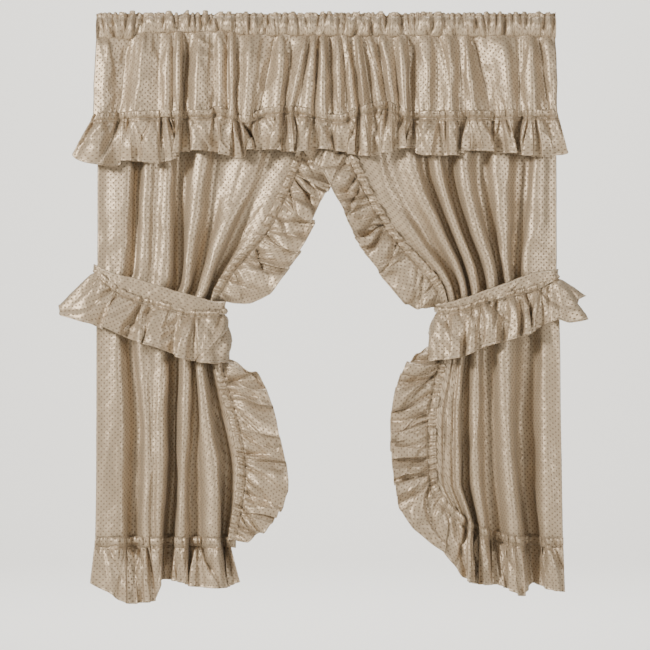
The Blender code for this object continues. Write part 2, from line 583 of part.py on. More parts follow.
def sheet(name, points, colour, collection, closed_across=False, closed_down=False):
    """A cloth node: a grid laid on the points, closed where it comes round, given a thickness."""
    count_across, count_down = points.shape[:2]
    shape = bmesh.new()
    bmesh.ops.create_grid(shape, x_segments=count_across - 1, y_segments=count_down - 1, size=0.5)
    for vertex in shape.verts:
        i = round((vertex.co.x + 0.5) * (count_across - 1))
        j = round((vertex.co.y + 0.5) * (count_down - 1))
        vertex.co = points[i, j]
    if closed_across or closed_down:
        bmesh.ops.remove_doubles(shape, verts=shape.verts, dist=0.00002)
    for face in shape.faces:
        face.smooth = True
    mesh = bpy.data.meshes.new(name)
    shape.to_mesh(mesh)
    shape.free()
    cloth = bpy.data.objects.new(name, mesh)
    collection.objects.link(cloth)
    cloth.data.materials.append(cloth_material(name, colour))
    wall = cloth.modifiers.new("Cloth thickness", "SOLIDIFY")
    wall.thickness = CLOTH
    wall.offset = 0.0
    wall.use_even_offset = False
    return cloth


def heading_points():
    """Rings of the pocket from one open end to the other, each gathered a little differently."""
    draw = random.Random(11)
    across = np.linspace(HEADING_LEFT, HEADING_RIGHT, HEADING_COLUMNS + 1)
    rings = []
    for k, place in enumerate(across):
        swing = (1 if k % 2 else -1) * draw.uniform(0.6, 1.1)
        lift = draw.uniform(0.0, 1.6)
        bottom = float(pocket_seam(place))
        ring = []
        for point in POCKET:
            down = lift * (1 - point.share) + (bottom - 0.5) * point.share
            depth = point.depth + point.ripple * swing
            ring.append((place * GRID, depth * MM, -down * GRID))
        ring.append(ring[0])
        rings.append(ring)
    return np.array(rings)


def fold_columns(crest_places, cells_a_step):
    """Crest numbers to lay columns on: more of them where neighbouring crests lie far apart."""
    columns = [0.0]
    for k in range(len(crest_places) - 1):
        width = abs(crest_places[k + 1] - crest_places[k])
        steps = max(1, round(width / cells_a_step))
        columns += [k + (step + 1) / steps for step in range(steps)]
    return np.array(columns)


def gather_columns(strip, steps_a_gather=4):
    """Numbers of gathers to lay columns on."""
    return np.linspace(0, strip.gathers.count, strip.gathers.count * steps_a_gather + 1)


def panel_rows(panel, counts):
    """Places down a panel: each level and the given number of steps to the next."""
    rows = []
    for upper, lower, count in zip(panel.levels, panel.levels[1:], counts):
        rows += list(np.linspace(upper.inner, lower.inner, count, endpoint=False))
    return np.array(rows + [panel.hem])


def empty_the_scene():
    """Remove whatever the scene holds."""
    for old in list(bpy.data.objects):
        bpy.data.objects.remove(old)


def main():
    """Build the set, one object for each sewn piece."""
    empty_the_scene()
    curtains = bpy.data.collections.new("Ruffled curtain set")
    bpy.context.scene.collection.children.link(curtains)

    sheet("heading", heading_points(), TAUPE, curtains, closed_down=True)

    valance = Valance()
    columns = fold_columns([pleat.low for pleat in VALANCE_PLEATS], 11)
    rows = [level.down for level in VALANCE_LEVELS]
    sheet("valance", valance.surface(columns, rows), TAUPE_PALE, curtains)
    edge = valance.surface(columns, rows[-1:])[:, 0]
    across = np.interp(columns, np.arange(len(VALANCE_PLEATS)), [p.low for p in VALANCE_PLEATS])
    ruffle = lower_strip(edge, across, VALANCE_RIM, 0.3, seed=21)
    sheet("valance_ruffle", ruffle.surface(gather_columns(ruffle), ALL_WIDTHS), TAUPE, curtains)

    sides = (
        ("left", LEFT_LEVELS, LEFT_CRESTS, LEFT_SIDE_RIM, LEFT_HEM_RIM, LEFT_BAND, LEFT_TIE_RIM, 1),
        ("right", RIGHT_LEVELS, RIGHT_CRESTS, RIGHT_SIDE_RIM, RIGHT_HEM_RIM, RIGHT_BAND,
         RIGHT_TIE_RIM, -1),
    )
    for side, levels, crests, side_rim, hem_rim, band_rows, tie_rim, inward in sides:
        panel = Panel(levels, crests)
        columns = np.linspace(0, panel.last, panel.last * STEPS_A_FOLD + 1)
        rows = panel_rows(panel, PANEL_STEPS)
        sheet(f"panel_{side}", panel.surface(columns, rows), TAUPE_PALE, curtains)

        ruffle = side_strip(panel, side_rim, rows, inward, seed=31 + inward)
        sheet(f"side_ruffle_{side}", ruffle.surface(gather_columns(ruffle), ALL_WIDTHS),
              TAUPE, curtains)
        edge = panel.surface(columns, rows[-1:])[:, 0]
        across = np.interp(columns, np.arange(len(crests)), [crest.hem for crest in crests])
        ruffle = lower_strip(edge, across, hem_rim, 0.5, seed=41 + inward)
        sheet(f"hem_ruffle_{side}", ruffle.surface(gather_columns(ruffle), ALL_WIDTHS),
              TAUPE_DEEP, curtains)

        band = TieBand(band_rows)
        shares = np.linspace(0, 1, BAND_COLUMNS + 1)
        sheet(f"tie_band_{side}", band.surface(shares, (0.0, 0.5, 1.0)), TAUPE_PALE, curtains,
              closed_across=True)
        ruffle = tie_strip(band.surface(shares, [1.0])[:, 0], shares, tie_rim, seed=51 + inward)
        sheet(f"tie_ruffle_{side}", ruffle.surface(gather_columns(ruffle), ALL_WIDTHS[1:]),
              TAUPE_DEEP, curtains)


main()
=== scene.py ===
"""Looks of a ruffled tie-back curtain set in satin dobby cloth, as it hangs.

The set has one gathered heading, a valance with a ruffle, two panels with ruffles down their inner
edges and along their hems, and two ruffled ties. Each cloth is laid on the folds of its solid and
gets the finer ones: gathers at each row of stitching, pinched pleats at the ties, rolled hems and
small wrinkles. The front faces -Y, Z is up, and the origin is the middle of the top edge.
"""

import json
import logging
import math
from dataclasses import dataclass
from enum import Enum
from typing import NamedTuple

import bpy
import numpy as np
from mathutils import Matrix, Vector

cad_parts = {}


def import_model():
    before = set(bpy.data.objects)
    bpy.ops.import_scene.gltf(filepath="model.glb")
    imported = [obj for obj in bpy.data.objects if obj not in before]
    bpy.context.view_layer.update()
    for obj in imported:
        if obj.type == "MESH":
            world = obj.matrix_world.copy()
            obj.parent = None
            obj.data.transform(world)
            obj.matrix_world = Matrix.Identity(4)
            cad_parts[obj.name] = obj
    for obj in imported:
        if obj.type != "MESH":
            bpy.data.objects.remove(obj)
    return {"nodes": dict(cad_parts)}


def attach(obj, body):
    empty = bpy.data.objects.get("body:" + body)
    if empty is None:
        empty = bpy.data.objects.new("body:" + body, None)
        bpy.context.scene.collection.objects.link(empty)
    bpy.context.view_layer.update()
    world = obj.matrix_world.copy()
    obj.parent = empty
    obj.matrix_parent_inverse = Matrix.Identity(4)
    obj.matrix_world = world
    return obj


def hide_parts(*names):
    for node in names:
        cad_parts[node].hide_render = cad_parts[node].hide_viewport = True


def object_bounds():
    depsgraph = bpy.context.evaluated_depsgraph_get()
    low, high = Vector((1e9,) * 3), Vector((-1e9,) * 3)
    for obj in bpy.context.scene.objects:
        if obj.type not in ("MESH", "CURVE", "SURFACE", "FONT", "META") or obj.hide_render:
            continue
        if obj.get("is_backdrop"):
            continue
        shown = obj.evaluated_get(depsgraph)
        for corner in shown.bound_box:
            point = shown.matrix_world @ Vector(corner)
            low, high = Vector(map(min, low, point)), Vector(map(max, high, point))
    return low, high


LOG = logging.getLogger("curtain_set")

# Drafting grid of the solids: square cells across from the centre line and down from the top
DROP = 1.143
GRID_CELLS_IN_DROP = 588
GRID = DROP / GRID_CELLS_IN_DROP
MM = 0.001

# Sewing sizes, in metres
HEADER = 0.0120
SEAM_GAP = 0.0012
TIE_LIP = 0.0110
SEAM_RIPPLE = 0.0010

# The heading's ends and the middle of its seam, in grid cells
HEADING_LEFT = -229.5
HEADING_RIGHT = 229.5
SEAM_AT_CENTRE = 24.0

# Depths of the tie bands' front and back runs, in mm, and how square their loops are
BAND_FRONT = -7.0
BAND_BACK = 41.5
BAND_SQUARENESS = 0.55

# The way to the room, and how far a cloth leans back for each cell that it laps down behind a ruffle
FRONT = np.array((0.0, -1.0, 0.0))
LAP_LEAN = 0.0004


class EdgePoint(NamedTuple):
    """A place on a seam or edge, in grid cells."""

    across: float
    down: float


class PocketPoint(NamedTuple):
    """A corner of the pocket's section: depth in mm (front negative), share of the way down."""

    depth: float
    share: float
    ripple: float


class Level(NamedTuple):
    """A level of a panel, with the form of its folds there."""

    inner: float
    outer: float
    bend: float
    depth: float
    back: float
    cross: float
    lower: float


class Crest(NamedTuple):
    """A crest of a panel's fold: depth in mm over and under the tie, then its place at each level."""

    upper: float
    lower: float
    places: tuple[float, ...]


class Pleat(NamedTuple):
    """A crest of the valance: depth in mm, place across at the pocket and at the ruffle."""

    depth: float
    top: float
    low: float


class ValanceLevel(NamedTuple):
    """A level of the valance: place down, depth factor, distance from the rod in mm."""

    down: float
    depth: float
    back: float


class RimPoint(NamedTuple):
    """A place along a host's edge and the ruffle's rim there; back and swing in mm."""

    at: float
    rim_across: float
    rim_down: float
    back: float
    swing: float


class BandPoint(NamedTuple):
    """A place across the front run of a tie band, and its two edges there."""

    across: float
    upper: float
    lower: float


class TieRim(NamedTuple):
    """A share of the way round a tie, and the rim's place from the stitching; out in mm."""

    at: float
    over: float
    down: float
    out: float
    swing: float


class Wrinkle(NamedTuple):
    """A soft ridge or trough seen from the front: its middle, half sizes, turn and height in mm."""

    across: float
    down: float
    half_length: float
    half_width: float
    degrees: float
    height: float


class Held(Enum):
    """How a cloth is held."""

    GATHERED = "gathered"
    DRAPED = "draped"


class Light(NamedTuple):
    """A square soft light: where it stands, what it looks at, its size, power and colour."""

    name: str
    place: tuple[float, float, float]
    target: tuple[float, float, float]
    size: float
    watts: float
    colour: tuple[float, float, float]


def table(kind: type, *rows: tuple) -> tuple:
    """A table of one kind of row."""
    return tuple(kind(*row) for row in rows)


POCKET_SEAM = table(
    EdgePoint,
    (-230, 27.0), (-200, 27.5), (-184, 22.5), (-150, 21.0), (-128, 20.8), (-105, 19.6), (-80, 23.5),
    (0, SEAM_AT_CENTRE), (120, 24.5), (230, 25.0),
)

POCKET = table(
    PocketPoint,
    (0.0, 0.0, 0.9), (-2.4, 0.10, 1.0), (-3.6, 0.20, 0.45), (-9.0, 0.38, 1.0), (-11.8, 0.58, 1.0),
    (-11.0, 0.82, 0.8), (-8.8, 1.0, 0.42), (1.0, 1.04, 0.2), (9.0, 1.0, 0.2), (10.0, 0.82, 0.5),
    (10.5, 0.54, 0.5), (8.0, 0.28, 0.5), (2.4, 0.10, 0.9), (0.0, 0.0, 0.9),
)

LEFT_LEVELS = table(
    Level,
    (24.25, 24.25, 1.0, 0.22, 7.5, 4.0, 0.0),
    (80, 80, 1.0, 0.75, 14, 9.0, 0.0),
    (153, 153, 1.0, 1.0, 16, 9.0, 0.0),
    (214, 214, 1.0, 1.1, 16, 3.0, 0.0),
    (280, 250, 1.0, 0.95, 16, 0.0, 0.0),
    (296, 259, 1.0, 0.9, 16, 0.0, 0.3),
    (356, 318, 1.0, 0.95, 16, 0.0, 0.9),
    (418, 418, 1.0, 1.15, 16, 0.0, 1.0),
    (458, 458, 1.0, 1.25, 16, 0.0, 1.0),
    (528, 528, 1.0, 1.3, 16, 0.0, 1.0),
)
RIGHT_LEVELS = table(
    Level,
    (24.0, 24.0, 1.0, 0.22, 7.5, -4.0, 0.0),
    (80, 80, 1.0, 0.75, 14, -9.0, 0.0),
    (153, 153, 1.0, 1.0, 16, -11.0, 0.0),
    (216, 216, 1.0, 1.1, 16, -4.0, 0.0),
    (281, 250, 1.0, 0.95, 16, 0.0, 0.0),
    (298, 263, 1.0, 0.9, 16, 0.0, 0.3),
    (350, 318, 1.0, 0.95, 16, 0.0, 0.9),
    (413, 413, 1.0, 1.15, 16, 0.0, 1.0),
    (470, 473, 1.0, 1.25, 16, 0.0, 1.0),
    (495, 528, 3.5, 1.3, 16, 0.0, 1.0),
)

# Crests from a panel's outer to its inner edge, at the levels above
LEFT_CRESTS = table(
    Crest,
    (-3, -8, (-229, -229, -229, -229, -229, -229, -230, -230, -230, -231)),
    (-10, -10, (-198, -199, -200, -202, -205, -208, -210, -208, -208, -208)),
    (14, 12, (-183, -187, -189, -191, -194, -197, -198, -190, -192, -193)),
    (-14, -14, (-168, -174, -179, -181, -183, -186, -185, -179, -178, -179)),
    (-4, -9, (-155, -162, -168, -171, -174, -177, -175, -173, -173, -173)),
    (-14, -14, (-141, -151, -159, -161, -164, -167, -164, -166, -166, -168)),
    (20, 24, (-124, -135, -146, -148, -150, -154, -151, -152, -153, -159)),
    (-18, -18, (-100, -113, -126, -135, -141, -145, -141, -143, -144, -145)),
    (14, 4, (-76, -93, -109, -117, -131, -136, -131, -132, -135, -134)),
    (-21, -22, (-38, -56, -75, -101, -123, -128, -126, -118, -112, -109)),
    (16, 14, (-18, -37, -58, -86, -117, -122, -118, -105, -99, -103)),
    (-2, -6, (13, -9, -34, -63, -112, -116, -110, -93, -87, -97)),
)
RIGHT_CRESTS = table(
    Crest,
    (-3, -12, (229, 230, 231, 231, 231, 231, 234, 235, 236, 237)),
    (-15, -14, (213, 212, 211, 207, 203, 204, 220, 222, 222, 223)),
    (16, 24, (202, 200, 198, 193, 191, 193, 208, 198, 198, 206)),
    (-16, -20, (182, 176, 171, 176, 181, 183, 179, 181, 185, 190)),
    (14, 12, (164, 159, 154, 163, 174, 175, 161, 163, 164, 168)),
    (-22, -12, (144, 140, 137, 151, 166, 167, 151, 150, 151, 157)),
    (14, 14, (126, 125, 124, 139, 157, 159, 142, 137, 138, 150)),
    (-14, -14, (110, 111, 113, 131, 149, 151, 136, 131, 132, 145)),
    (16, -2, (92, 96, 100, 121, 143, 145, 132, 127, 128, 140)),
    (-18, -5, (74, 79, 86, 112, 137, 139, 129, 122, 123, 136)),
    (12, -2, (52, 60, 68, 97, 131, 133, 126, 118, 119, 132)),
    (-12, -5, (28, 39, 51, 83, 125, 128, 123, 114, 115, 128)),
    (0, -4, (-13, 9, 33, 67, 119, 122, 119, 109, 110, 124)),
)

VALANCE_PLEATS = table(
    Pleat,
    (0, -229, -232), (-6, -218, -221), (9, -198, -206), (-8, -182, -188), (5, -166, -168),
    (-6, -157, -159), (3, -152, -153), (-7, -147, -147), (11, -142, -142), (-8, -127, -129),
    (6, -112, -112), (-4, -105, -105), (4, -98, -98), (-7, -94, -94), (5, -90, -90),
    (-10, -76, -79), (9, -50, -66), (-6, -43, -48), (7, -34, -42), (-8, -19, -35), (3, -15, -28),
    (-6, -11, -18), (5, -7, -12), (-7, -3, -3), (6, 3, 6), (-6, 11, 14), (4, 15, 22), (-5, 20, 28),
    (4, 25, 33), (-10, 31, 38), (6, 35, 46), (-4, 43, 54), (6, 50, 61), (-6, 57, 67), (5, 67, 73),
    (-6, 75, 79), (11, 83, 85), (-5, 101, 102), (5, 111, 111), (-9, 123, 124), (6, 131, 137),
    (-6, 139, 147), (12, 146, 165), (-9, 177, 183), (5, 192, 192), (-8, 204, 206), (6, 213, 221),
    (-4, 221, 226), (0, 229, 230),
)
VALANCE_LEVELS = table(
    ValanceLevel,
    (24.05, 0.22, -8.0), (33, 0.75, -13.0), (50, 1.0, -18.5), (78, 1.0, -22.5), (101, 0.8, -24.5),
)
VALANCE_EDGE = table(
    EdgePoint,
    (-232, 104), (-180, 101), (-117, 100), (-109, 96), (-96, 100), (-79, 107), (-64, 99), (-40, 96),
    (-20, 98), (14, 105), (28, 100), (57, 91), (84, 101), (230, 100),
)
VALANCE_RIM = table(
    RimPoint,
    (-232, -251, 143, -4, 7), (-222, -231, 153, -4, 9), (-212, -212, 155, -2, 8),
    (-202, -203, 149, 2, 7), (-186, -186, 150, -3, 9), (-170, -169, 152, -3, 8),
    (-156, -154, 148, 2, 8), (-143, -143, 140, 4, 7), (-121, -119, 139, -2, 9),
    (-101, -100, 143, -4, 9), (-88, -85, 147, 0, 8), (-80, -79, 138, 4, 6), (-54, -55, 138, -2, 8),
    (-28, -28, 141, -2, 9), (-10, -9, 137, 3, 8), (10, 10, 139, -2, 8), (40, 41, 145, -3, 9),
    (66, 66, 139, 2, 8), (86, 88, 136, 2, 8), (98, 99, 144, -3, 9), (130, 132, 144, -3, 9),
    (143, 144, 139, 3, 8), (182, 184, 142, -2, 9), (218, 220, 146, -4, 9), (230, 243, 141, -3, 7),
)

LEFT_SIDE_RIM = table(
    RimPoint,
    (24.25, 56, 25.5, 2, 1.5), (80, 50, 92, 0, 4), (130, 28, 148, 0, 6), (153, 10, 168, 0, 7),
    (178, -5, 188, -2, 9), (209, -15, 219, -3, 11), (228, -23, 236, -3, 11),
    (259, -44, 267, -3, 11), (270, -58, 284, -2, 8), (277, -76, 291, 0, 5), (282, -91, 291, 6, 2),
    (286, -103, 289, 12, 1.2), (290, -111, 289, 16, 1.0), (296, -112, 297, 18, 1.0),
    (326, -111, 326, 18, 1.0), (338, -108, 337, 13, 1.5), (348, -99, 345, 6, 3),
    (357, -87, 351, 0, 6), (368, -70, 360, -3, 9), (380, -61, 374, -3, 10), (398, -52, 398, -3, 11),
    (432, -43, 438, -3, 11), (458, -37, 470, -3, 10), (480, -43, 495, -3, 8),
    (506, -60, 516, -3, 6), (528, -78, 530, -4, 3.5),
)
RIGHT_SIDE_RIM = table(
    RimPoint,
    (24.0, -56, 25.5, 2, 1.5), (80, -44, 92, 0, 4), (130, -20, 143, 0, 5), (153, -3, 160, 0, 6),
    (173, 7, 179, -2, 8), (193, 18, 199, -3, 10), (226, 34, 234, -3, 11), (251, 57, 266, -3, 11),
    (261, 68, 280, -2, 9), (268, 79, 291, 0, 6), (275, 93, 297, 2, 4), (281, 102, 296, 6, 2),
    (286, 107, 295, 10, 1.2), (291, 112, 295, 14, 1.0), (298, 117, 300, 17, 1.0),
    (316, 119, 315, 17, 1.0), (328, 115, 326, 15, 1.3), (338, 107, 333, 8, 2.5),
    (347, 94, 341, 0, 6), (358, 82, 350, -3, 9), (372, 73, 366, -3, 10), (392, 66, 390, -3, 11),
    (424, 64, 426, -3, 11), (452, 67, 462, -3, 11), (472, 72, 492, -3, 11), (483, 84, 513, -4, 9),
    (489, 100, 528, -6, 6), (495, 119, 541, -8, 4),
)
LEFT_HEM_RIM = table(
    RimPoint,
    (-231, -236, 571, -4, 4), (-214, -214, 583, -5, 5), (-196, -196, 592, -5, 6),
    (-176, -172, 589, -5, 6), (-162, -163, 568, 0, 4), (-148, -147, 570, -5, 5),
    (-128, -128, 575, -5, 6), (-108, -102, 576, -6, 5), (-97, -86, 570, -2, 4),
)
RIGHT_HEM_RIM = table(
    RimPoint,
    (124, 113, 533, 0, 2), (132, 127, 552, -3, 4), (142, 140, 567, -5, 5), (154, 156, 573, -5, 6),
    (167, 170, 573, -4, 5), (180, 184, 578, -5, 6), (192, 196, 584, -5, 6), (206, 208, 572, 0, 2.5),
    (222, 225, 578, -5, 6), (237, 239, 580, -5, 4),
)
LEFT_BAND = table(
    BandPoint,
    (-232, 252, 260), (-211, 261, 278), (-186, 267, 290), (-163, 275, 295), (-129, 285, 304),
    (-112, 289, 304), (-102, 289, 302),
)
RIGHT_BAND = table(
    BandPoint,
    (232.2, 257, 266), (209, 260, 278), (186, 268, 284), (161, 278, 290), (136, 287, 299),
    (119, 291, 301), (111, 292, 300),
)
LEFT_TIE_RIM = table(
    TieRim,
    (0.02, -33, 33, 3, 4), (0.06, -30, 42, 6, 7), (0.12, -14, 42, 9, 8), (0.20, -10, 36, 9, 8),
    (0.30, -6, 44, 9, 8), (0.40, -2, 48, 9, 8), (0.455, 3, 47, 8, 6), (0.50, 3, 28, 4, 3),
    (0.56, 0, 20, 4, 3), (0.75, 0, 32, 7, 5), (0.92, 3, 36, 7, 5),
)
RIGHT_TIE_RIM = table(
    TieRim,
    (0.02, 26, 17, 3, 3), (0.036, 14, 24, 5, 4), (0.054, 25, 40, 7, 5), (0.076, 10, 43, 8, 7),
    (0.11, 6, 36, 9, 8), (0.20, -2, 42, 9, 8), (0.30, -2, 46, 9, 8), (0.40, 1, 47, 9, 8),
    (0.455, -2, 49, 8, 6), (0.50, -3, 22, 4, 3), (0.56, 0, 16, 4, 3), (0.75, 0, 30, 7, 5),
    (0.92, -3, 34, 7, 5),
)

# Wrinkles placed on the cloths that hang flat to the front
VALANCE_WRINKLES = table(
    Wrinkle,
    (-124, 30, 13, 2.2, 35, 3.0), (-162, 58, 7, 2.0, 80, 2.4), (-24, 74, 22, 1.0, 110, 1.4),
    (162, 53, 4, 3.0, 60, 2.6), (122, 40, 14, 5.0, 85, 2.0), (178, 38, 10, 4.5, 80, 2.2),
    (84, 70, 26, 4.0, 92, -2.4), (12, 92, 10, 3.0, 100, 2.0), (206, 82, 12, 5.0, 95, 1.8),
    (-192, 86, 12, 5.0, 80, 1.8),
)
HEADING_WRINKLES = table(
    Wrinkle,
    (-190, 17, 4.0, 2.6, 90, 2.6), (-149, 16, 3.6, 2.4, 90, 2.6), (-132, 16, 3.6, 2.2, 90, 2.4),
    (-105, 15, 3.8, 2.4, 90, 2.6), (-62, 15, 5.0, 2.6, 90, 2.0), (42, 16, 5.0, 2.4, 90, 2.2),
    (128, 15, 5.0, 3.0, 90, 2.2), (196, 16, 5.0, 2.6, 90, 2.2),
)
LEFT_WRINKLES = table(
    Wrinkle,
    (-218, 400, 7, 1.6, 15, 1.6), (-219, 487, 6, 1.6, 10, 1.4), (-215, 503, 8, 2.0, -8, 2.0),
    (-216, 455, 6, 2.2, 20, -1.0), (-210, 330, 9, 2.0, 12, 1.2), (-118, 515, 8, 3.0, -30, 2.2),
    (-213, 205, 30, 4.0, 88, 1.6), (-90, 172, 24, 2.0, 106, -2.0),
)
RIGHT_WRINKLES = table(
    Wrinkle,
    (230, 446, 6, 1.6, -8, 1.6), (224, 340, 9, 2.0, -15, 1.4), (219, 500, 8, 2.0, 10, 1.4),
    (108, 180, 36, 2.0, 66, -2.4), (195, 225, 30, 3.0, 96, 1.6), (128, 375, 24, 1.4, 90, -1.4),
)

LIGHTS = table(
    Light,
    ("key", (-2.8, -2.5, 0.62), (0.0, 0.0, -0.55), 0.6, 230, (1.0, 0.955, 0.885)),
    ("fill", (2.0, -2.1, -0.1), (0.45, 0.0, -0.5), 0.7, 50, (1.0, 0.965, 0.91)),
    ("top", (0.2, -1.9, 1.25), (0.0, 0.0, -0.2), 1.0, 10, (1.0, 0.975, 0.93)),
    ("wall", (0.0, 1.6, 3.2), (0.0, 6.4, -0.6), 3.0, 560, (1.0, 0.985, 0.96)),
)


def smooth(stations: object, values: object, at: object) -> np.ndarray:
    """Read a table by cubic pieces that never overshoot it.

    Args:
        stations: Rising places of the table's rows.
        values: The rows' values.
        at: Places to read the table at.

    Returns:
        The values there.
    """
    stations = np.asarray(stations, dtype=float)
    values = np.asarray(values, dtype=float)
    at = np.clip(np.asarray(at, dtype=float), stations[0], stations[-1])
    run = np.diff(stations)
    rise = np.diff(values) / run
    slope = np.zeros(len(stations))
    slope[0], slope[-1] = rise[0], rise[-1]
    product = rise[:-1] * rise[1:]
    total = np.where(product > 0, rise[:-1] + rise[1:], 1.0)
    slope[1:-1] = np.where(product > 0, 2 * product / total, 0.0)
    k = np.clip(np.searchsorted(stations, at, side="right") - 1, 0, len(run) - 1)
    t = (at - stations[k]) / run[k]
    rest = 1 - t
    return (values[k] * (1 + 2 * t) * rest ** 2 + slope[k] * run[k] * t * rest ** 2
            + values[k + 1] * t ** 2 * (3 - 2 * t) - slope[k + 1] * run[k] * t ** 2 * rest)


def read(rows: tuple, name: str, at: object, by: str = "at") -> np.ndarray:
    """Read one column of a table by another, smoothly.

    Args:
        rows: The table.
        name: The column to read.
        at: Places to read it at.
        by: The column that holds the rows' places.

    Returns:
        The values there.
    """
    return smooth([getattr(row, by) for row in rows], [getattr(row, name) for row in rows], at)


def upright(rows: tuple, name: str) -> np.ndarray:
    """One column of a table, as an array with a row for each value."""
    return np.array([getattr(row, name) for row in rows])[:, None]


def between(stations: np.ndarray, vectors: np.ndarray, at: np.ndarray) -> np.ndarray:
    """Vectors at places between stations, in straight steps."""
    return np.stack([np.interp(at, stations, vectors[:, k]) for k in range(3)], axis=-1)


def ease(share: object) -> np.ndarray:
    """Zero to one with no slope at either end."""
    share = np.clip(share, 0, 1)
    return share * share * (3 - 2 * share)


def unit(vectors: np.ndarray) -> np.ndarray:
    """The vectors at length one."""
    return vectors / np.maximum(np.linalg.norm(vectors, axis=-1, keepdims=True), 1e-9)


def travelled(points: np.ndarray, axis: int) -> np.ndarray:
    """Measure the length along a grid of points.

    Args:
        points: The grid.
        axis: The way to measure, across the columns or down the rows.

    Returns:
        The length at each point, from the first row or column.
    """
    steps = np.linalg.norm(np.diff(points, axis=axis), axis=-1)
    first = np.zeros_like(np.take(steps, [0], axis=axis))
    return np.concatenate([first, np.cumsum(steps, axis=axis)], axis=axis)


def normals(points: np.ndarray) -> np.ndarray:
    """A grid's own normals, all on one side of it."""
    return unit(np.cross(np.gradient(points, axis=0), np.gradient(points, axis=1)))


def pushed(points: np.ndarray, height: np.ndarray) -> np.ndarray:
    """Move a grid of points along the cloth's own normals.

    Args:
        points: The grid, columns by rows by three.
        height: How far each point moves to the front, in metres.

    Returns:
        The moved grid.
    """
    normal = normals(points)
    if float(np.mean(normal @ FRONT)) < 0:
        normal = -normal
    return points + normal * height[..., None]


def lap_down(points: np.ndarray, below: np.ndarray) -> None:
    """Run a cloth on down behind its ruffle, by so many cells past the seam for each row."""
    points[..., 2] -= below * GRID
    points[..., 1] += below * LAP_LEAN


def pattern(across: np.ndarray, down: np.ndarray) -> np.ndarray:
    """A flat pattern from lengths across and down, either of them one for all or one a point."""
    return np.stack(np.broadcast_arrays(across, down), axis=-1)


class Grain:
    """Smooth seeded unevenness over a plane, from about -1 to 1."""

    cells = 256

    def __init__(self, seed: int) -> None:
        """Draw the slopes at the plane's lattice points.

        Args:
            seed: Seed of the drawing.
        """
        draw = np.random.default_rng(seed)
        self.turns = draw.permutation(self.cells)
        angle = draw.uniform(0, 2 * math.pi, self.cells)
        self.slopes = np.stack([np.cos(angle), np.sin(angle)], axis=-1)

    def at(self, u: np.ndarray, v: np.ndarray) -> np.ndarray:
        """Read the unevenness.

        Args:
            u: First coordinate, in lattice cells.
            v: Second coordinate, in lattice cells.

        Returns:
            Values from about -1 to 1.
        """
        u, v = np.broadcast_arrays(np.asarray(u, dtype=float), np.asarray(v, dtype=float))
        low_u, low_v = np.floor(u).astype(int), np.floor(v).astype(int)
        part_u, part_v = u - low_u, v - low_v
        fade_u = part_u ** 3 * (part_u * (6 * part_u - 15) + 10)
        fade_v = part_v ** 3 * (part_v * (6 * part_v - 15) + 10)
        corners = []
        for add_u, add_v in ((0, 0), (1, 0), (0, 1), (1, 1)):
            turn = self.turns[(low_u + add_u) % self.cells]
            slope = self.slopes[self.turns[(turn + low_v + add_v) % self.cells]]
            corners.append(slope[..., 0] * (part_u - add_u) + slope[..., 1] * (part_v - add_v))
        upper = corners[0] + (corners[1] - corners[0]) * fade_u
        lower = corners[2] + (corners[3] - corners[2]) * fade_u
        return 1.5 * (upper + (lower - upper) * fade_v)

    def creases(self, u: np.ndarray, v: np.ndarray) -> np.ndarray:
        """Narrow ridges with wide hollows between them, from 0 to 1."""
        return np.clip(1 - 2.2 * np.abs(self.at(u, v)), 0, 1) ** 1.5


class Swell(NamedTuple):
    """Soft folds: their size across and along the cloth, height, start and usual level."""

    across: float
    along: float
    height: float
    start: tuple[float, float] = (0.0, 0.0)
    level: float = 0.0

    def cells(self, u: np.ndarray, v: np.ndarray) -> tuple[np.ndarray, np.ndarray]:
        """Places on the cloth, in the cells of its grain."""
        return u / self.across + self.start[0], v / self.along + self.start[1]

    def round(self, grain: Grain, u: np.ndarray, v: np.ndarray) -> np.ndarray:
        """Heights of round folds at places across and along the cloth."""
        return grain.at(*self.cells(u, v)) * self.height

    def ridged(self, grain: Grain, u: np.ndarray, v: np.ndarray) -> np.ndarray:
        """Heights of narrow ridges at places across and along the cloth."""
        return (grain.creases(*self.cells(u, v)) - self.level) * self.height


class CreaseSizes(NamedTuple):
    """Creases at a row of stitching, in metres: depth and reach from least to most, widths of sides."""

    pitch: float
    depth: tuple[float, float]
    reach: tuple[float, float]
    widths: tuple[float, float]


